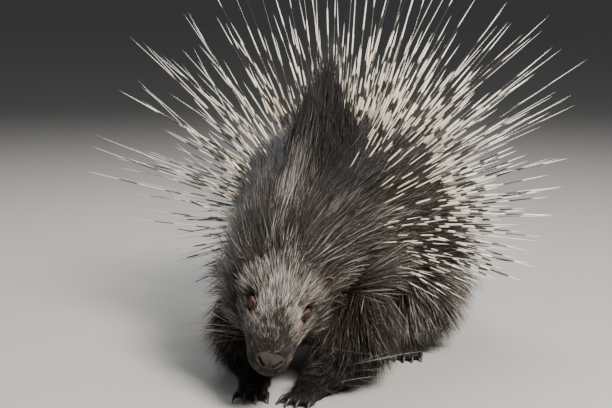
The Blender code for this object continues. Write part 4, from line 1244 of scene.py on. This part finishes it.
def quill_finish():
    finish = Finish("quill_horn", 0.5, Coat_Roughness=0.15)
    along, pattern, gauge = finish.parts_of("strand")
    streaks = finish.noise(500, 3)
    place = along + (pattern - 0.5) * 0.22 * (1 - along) + (streaks - 0.5) * 0.02
    width = pattern.sum("FRACT", pattern * 7.3, 0) * 0.06
    first_pale = place.rise(0.22, 0.24) * (1 - (place - width).rise(0.31, 0.33))
    second_pale = place.rise(0.46, 0.48) * (1 - (place - width).rise(0.57, 0.59))
    tip_pale = (place + width).rise(0.8, 0.83)
    slender = (place + width).rise(0.62, 0.65) * (1 - gauge.rise(0, 0.4))
    cream = finish.mix((0.66, 0.57, 0.43), (0.8, 0.76, 0.68), along.rise(0.4, 0.9))
    banded = finish.mix((0.026, 0.015, 0.01), (0.01, 0.007, 0.006), streaks.rise(0.35, 0.7))
    for pale in (first_pale, second_pale, tip_pale, slender):
        banded = finish.mix(banded, cream, pale)
    return finish.feed(
        Base_Color=finish.mix((0.42, 0.34, 0.24), banded, along.rise(0.02, 0.05)),
        Roughness=0.26 + streaks * 0.16,
        Coat_Weight=0.25 + streaks * 0.2,
        Normal=finish.bump(streaks, 0.0002),
    )


def spaced(places, apart):
    """Keeps places that are at least that far apart, as they come."""
    kept, grid = [], {}
    for i, point in enumerate(places.at):
        a, b, c = (int(v // apart) for v in point)
        cells = [(a + x, b + y, c + z) for x, y, z in product((-1, 0, 1), repeat=3)]
        near = [other for cell in cells for other in grid.get(cell, ())]
        if all(((places.at[other] - point) ** 2).sum() > apart * apart for other in near):
            kept.append(i)
            grid.setdefault((a, b, c), []).append(i)
    return places.pick(np.array(kept))


quill_horn = quill_finish()
quilled = on_trunk & (pool.y > -0.088) & (pool.y < 0.262) & (round_about < QUILL_REACH)
quilled &= ~nape & (pool.z > 0.075)
candidates = pool.pick(quilled & (draw.random(POOL) < 0.16))
rooted = spaced(candidates.pick(draw.permutation(len(candidates.at))), QUILL_APART)
rooted = rooted.pick(draw.random(len(rooted.at)) < interp(rooted.y, QUILL_ROWS, QUILL_SHARES))
count = len(rooted.at)
kind = draw.random(count)
slender = kind < 0.36
stout = kind > 0.66
share = np.where(slender, draw.uniform(0.78, 1.05, count), draw.uniform(0.48, 0.94, count))
share = np.where(stout, draw.uniform(0.28, 0.6, count), share)
gauge = np.where(slender, draw.uniform(0.66, 0.9, count), draw.uniform(0.95, 1.3, count))
gauge = np.where(stout, draw.uniform(0.95, 1.3, count), gauge)
longest, thickest, lean = (interp(rooted.y, QUILL_PLAN[:, 0], QUILL_PLAN[:, k]) for k in (1, 2, 3))
length = longest * interp(rooted.around, FALL_ANGLES, FALL_SHARES) * share
radius = thickest * gauge * QUILL_THINNER
lean = np.radians(lean) + draw.normal(0, 0.07, count)
swing = np.radians(rooted.around) * QUILL_SPLAY + draw.normal(0, 0.06, count)
way = fanned(swing, lean)
length = within_box(rooted.at, way, length)
bend = draw.normal(0, 0.012, (count, 3)) * length[:, None]
bend[:, 1] += length * np.where(slender, 0.035, 0.008)
values = np.stack([draw.random(count), (gauge - 0.66).clip(0, 0.34) / 0.34], 1)
columns = (rooted.at, way, bend, length, radius, radius, rooted.out)
front = rooted.y < 0.085
for name, chosen in (("quills_of_the_back", front), ("quills_of_the_rump", ~front)):
    blades(
        name, *(column[chosen] for column in columns), QUILL_RINGS, values[chosen],
        map_spots(rooted)[chosen], quill_horn, "quilled_hide", sides=6, sink=0.006
    )

# The rattle. A bunch of short, thick, hollow quills ends the tail. They are open at the end, pale,
# and knock together when the animal shakes them.
RATTLE_COUNT = 46
RATTLE_LENGTH = 0.085
RATTLE_R = 0.003
RATTLE_AT = (0, 0.292, 0.146)
RATTLE_RINGS = ((0, 0.45), (0.35, 0.55), (0.5, 0.95), (0.72, 1), (0.95, 0.92), (0.99, 0.6))
step = np.arange(RATTLE_COUNT)
turn = 2 * pi * step / RATTLE_COUNT * 7.4
cone = np.radians(5 + 40 * step / RATTLE_COUNT)
way = np.stack([np.sin(turn) * np.sin(cone), np.cos(cone), np.cos(turn) * np.sin(cone)], 1)
root = np.array(RATTLE_AT) + way * (1, 0, 1) * 0.02
length = within_box(root, way, RATTLE_LENGTH * draw.uniform(0.75, 1.1, RATTLE_COUNT))
values = np.stack([draw.random(RATTLE_COUNT), np.full(RATTLE_COUNT, 0.2)], 1)
spots = np.stack([(turn / (2 * pi)) % 1, step / RATTLE_COUNT], 1)
blades(
    "tail_rattle", root, way, way * 0, length, RATTLE_R * draw.uniform(0.7, 1, RATTLE_COUNT),
    RATTLE_R * draw.uniform(0.7, 1, RATTLE_COUNT), upward, RATTLE_RINGS, values, spots, quill_horn,
    "quilled_hide", sides=8, sink=0.002
)

# The whiskers. They are long, springy single hairs in rows on the sides of the muzzle and sweep
# out, back and a little down.
WHISKER_ROWS = 4
WHISKERS_IN_ROW = 4
WHISKER_R = 0.0002
WHISKER_RINGS = ((0, 1), (0.2, 0.9), (0.4, 0.75), (0.6, 0.58), (0.8, 0.36))
roots, ways, bends, lengths = [], [], [], []
for (name, sign), row, i in product(SIGNS, range(WHISKER_ROWS), range(WHISKERS_IN_ROW)):
    distance = 0.104 + 0.0075 * i + draw.normal(0, 0.0012)
    height = -0.02 + 0.0068 * row + draw.normal(0, 0.0008)
    near, normal, _, _ = skin_tree.find_nearest(on_head((distance, 0.09, height), sign))
    outward = head_side * sign
    way = outward * 0.85 + normal * 0.3 - head_forward * draw.uniform(-0.1, 0.6)
    way += head_up * draw.uniform(-0.75, 0.65)
    length = draw.uniform(0.06, 0.105) * (1.35 - 0.1 * i)
    roots.append(tuple(near))
    ways.append(tuple(way.normalized()))
    bends.append(tuple(Vector((0, 0.3, -0.14)) * length + outward * length * 0.05))
    lengths.append(length)
roots, ways, bends, lengths = (np.array(part) for part in (roots, ways, bends, lengths))
count = len(roots)
drop = -(ways[:, 2] * lengths + bends[:, 2])
fit = np.where(drop > 0, ((roots[:, 2] - 0.006) / drop.clip(1e-6, None)).clip(0, 1), 1)
lengths, bends = lengths * fit, bends * fit[:, None]
spots = np.stack([(np.arange(count) % 14 + 0.5) / 14, (np.arange(count) // 14 + 0.5) / 6], 1)
blades(
    "whiskers", roots, ways, bends, within_box(roots, ways, lengths), WHISKER_R, WHISKER_R, upward,
    WHISKER_RINGS, np.stack([draw.uniform(0.5, 1, count), np.zeros(count)], 1), spots, bristle,
    "bristly_hide", sides=4, sink=0.002
)

# The studio. The mount stands on a plain pale round floor, painted darker far from it as painted light
# falloff, under a large soft light from the camera's right, a weaker one from the left and a strip from
# behind.
FLOOR_R = 40
FLOOR_SIDES = 96
SKY_STRENGTH = 0.25


def floor_finish():
    finish = Finish("studio_floor", 0.2)
    patch = finish.noise(1.3, 3)
    away = finish.add("ShaderNodeVectorMath", {"operation": "LENGTH"}, {0: finish.place()}, 1)
    pale = finish.mix((0.4, 0.385, 0.36), (0.36, 0.345, 0.325), patch)
    # Painted light falloff: the floor's colour darkens with distance from the mount, like a pool of
    # light round it.
    return finish.feed(
        Base_Color=finish.mix(pale, (0.13, 0.126, 0.119), away.rise(0.8, 3.2)),
        Roughness=0.75 + patch * 0.1,
    )


rim = oval(Vector((0, 0, 0)), sideways, backward, FLOOR_R, FLOOR_R, FLOOR_R, FLOOR_SIDES)
ground = bpy.data.meshes.new("studio_floor")
ground.from_pydata([tuple(point) for point in rim], [], [tuple(range(FLOOR_SIDES))])
ground.materials.append(floor_finish())
linked("studio_floor", ground)


def aimed(made, place, aim):
    """Puts a lamp or the camera in its place and turns it to what it looks at."""
    made.location = place
    made.rotation_mode = "QUATERNION"
    made.rotation_quaternion = (Vector(aim) - Vector(place)).to_track_quat("-Z", "Y")


for name, place, aim, size, power, colour in (
    ("key_light", (1.6, -1.3, 2), (0, 0, 0.2), (0.7, 0.7), 190, (1, 0.97, 0.92)),
    ("fill_light", (-1.9, -1.5, 1.2), (0, 0, 0.2), (1.6, 1.6), 12, (0.9, 0.95, 1)),
    ("rim_light", (-0.6, 1.3, 1.9), (0, 0, 0.3), (1.4, 0.6), 40, (0.95, 0.97, 1)),
):
    lamp = bpy.data.lights.new(name, "AREA")
    lamp.shape = "RECTANGLE"
    lamp.size, lamp.size_y = size
    lamp.energy = power
    lamp.color = colour
    aimed(linked(name, lamp), place, aim)
sky = bpy.data.worlds.new("studio")
bpy.context.scene.world = sky
sky.use_nodes = True
sky.node_tree.nodes["Background"].inputs["Color"].default_value = (0.8, 0.84, 0.9, 1)
sky.node_tree.nodes["Background"].inputs["Strength"].default_value = SKY_STRENGTH

# The camera. It looks at the mount from the front and from above, at the photograph's angle.
CAMERA_AZIMUTH = radians(18)
CAMERA_ELEVATION = radians(15)
CAMERA_AWAY = 2.1
CAMERA_AIM = Vector((-0.0365, 0.0202, 0.203))
CAMERA_CENTRE = Vector((-0.0035, 0.0312, 0))
CAMERA_LENS = 88
lens = bpy.data.cameras.new("camera")
lens.lens = CAMERA_LENS
lens.sensor_width = 36
camera = linked("camera", lens)
level = cos(CAMERA_ELEVATION)
way = (sin(CAMERA_AZIMUTH) * level, -cos(CAMERA_AZIMUTH) * level, sin(CAMERA_ELEVATION))
aimed(camera, CAMERA_CENTRE + shift + CAMERA_AWAY * Vector(way), CAMERA_AIM + shift)
bpy.context.scene.camera = camera
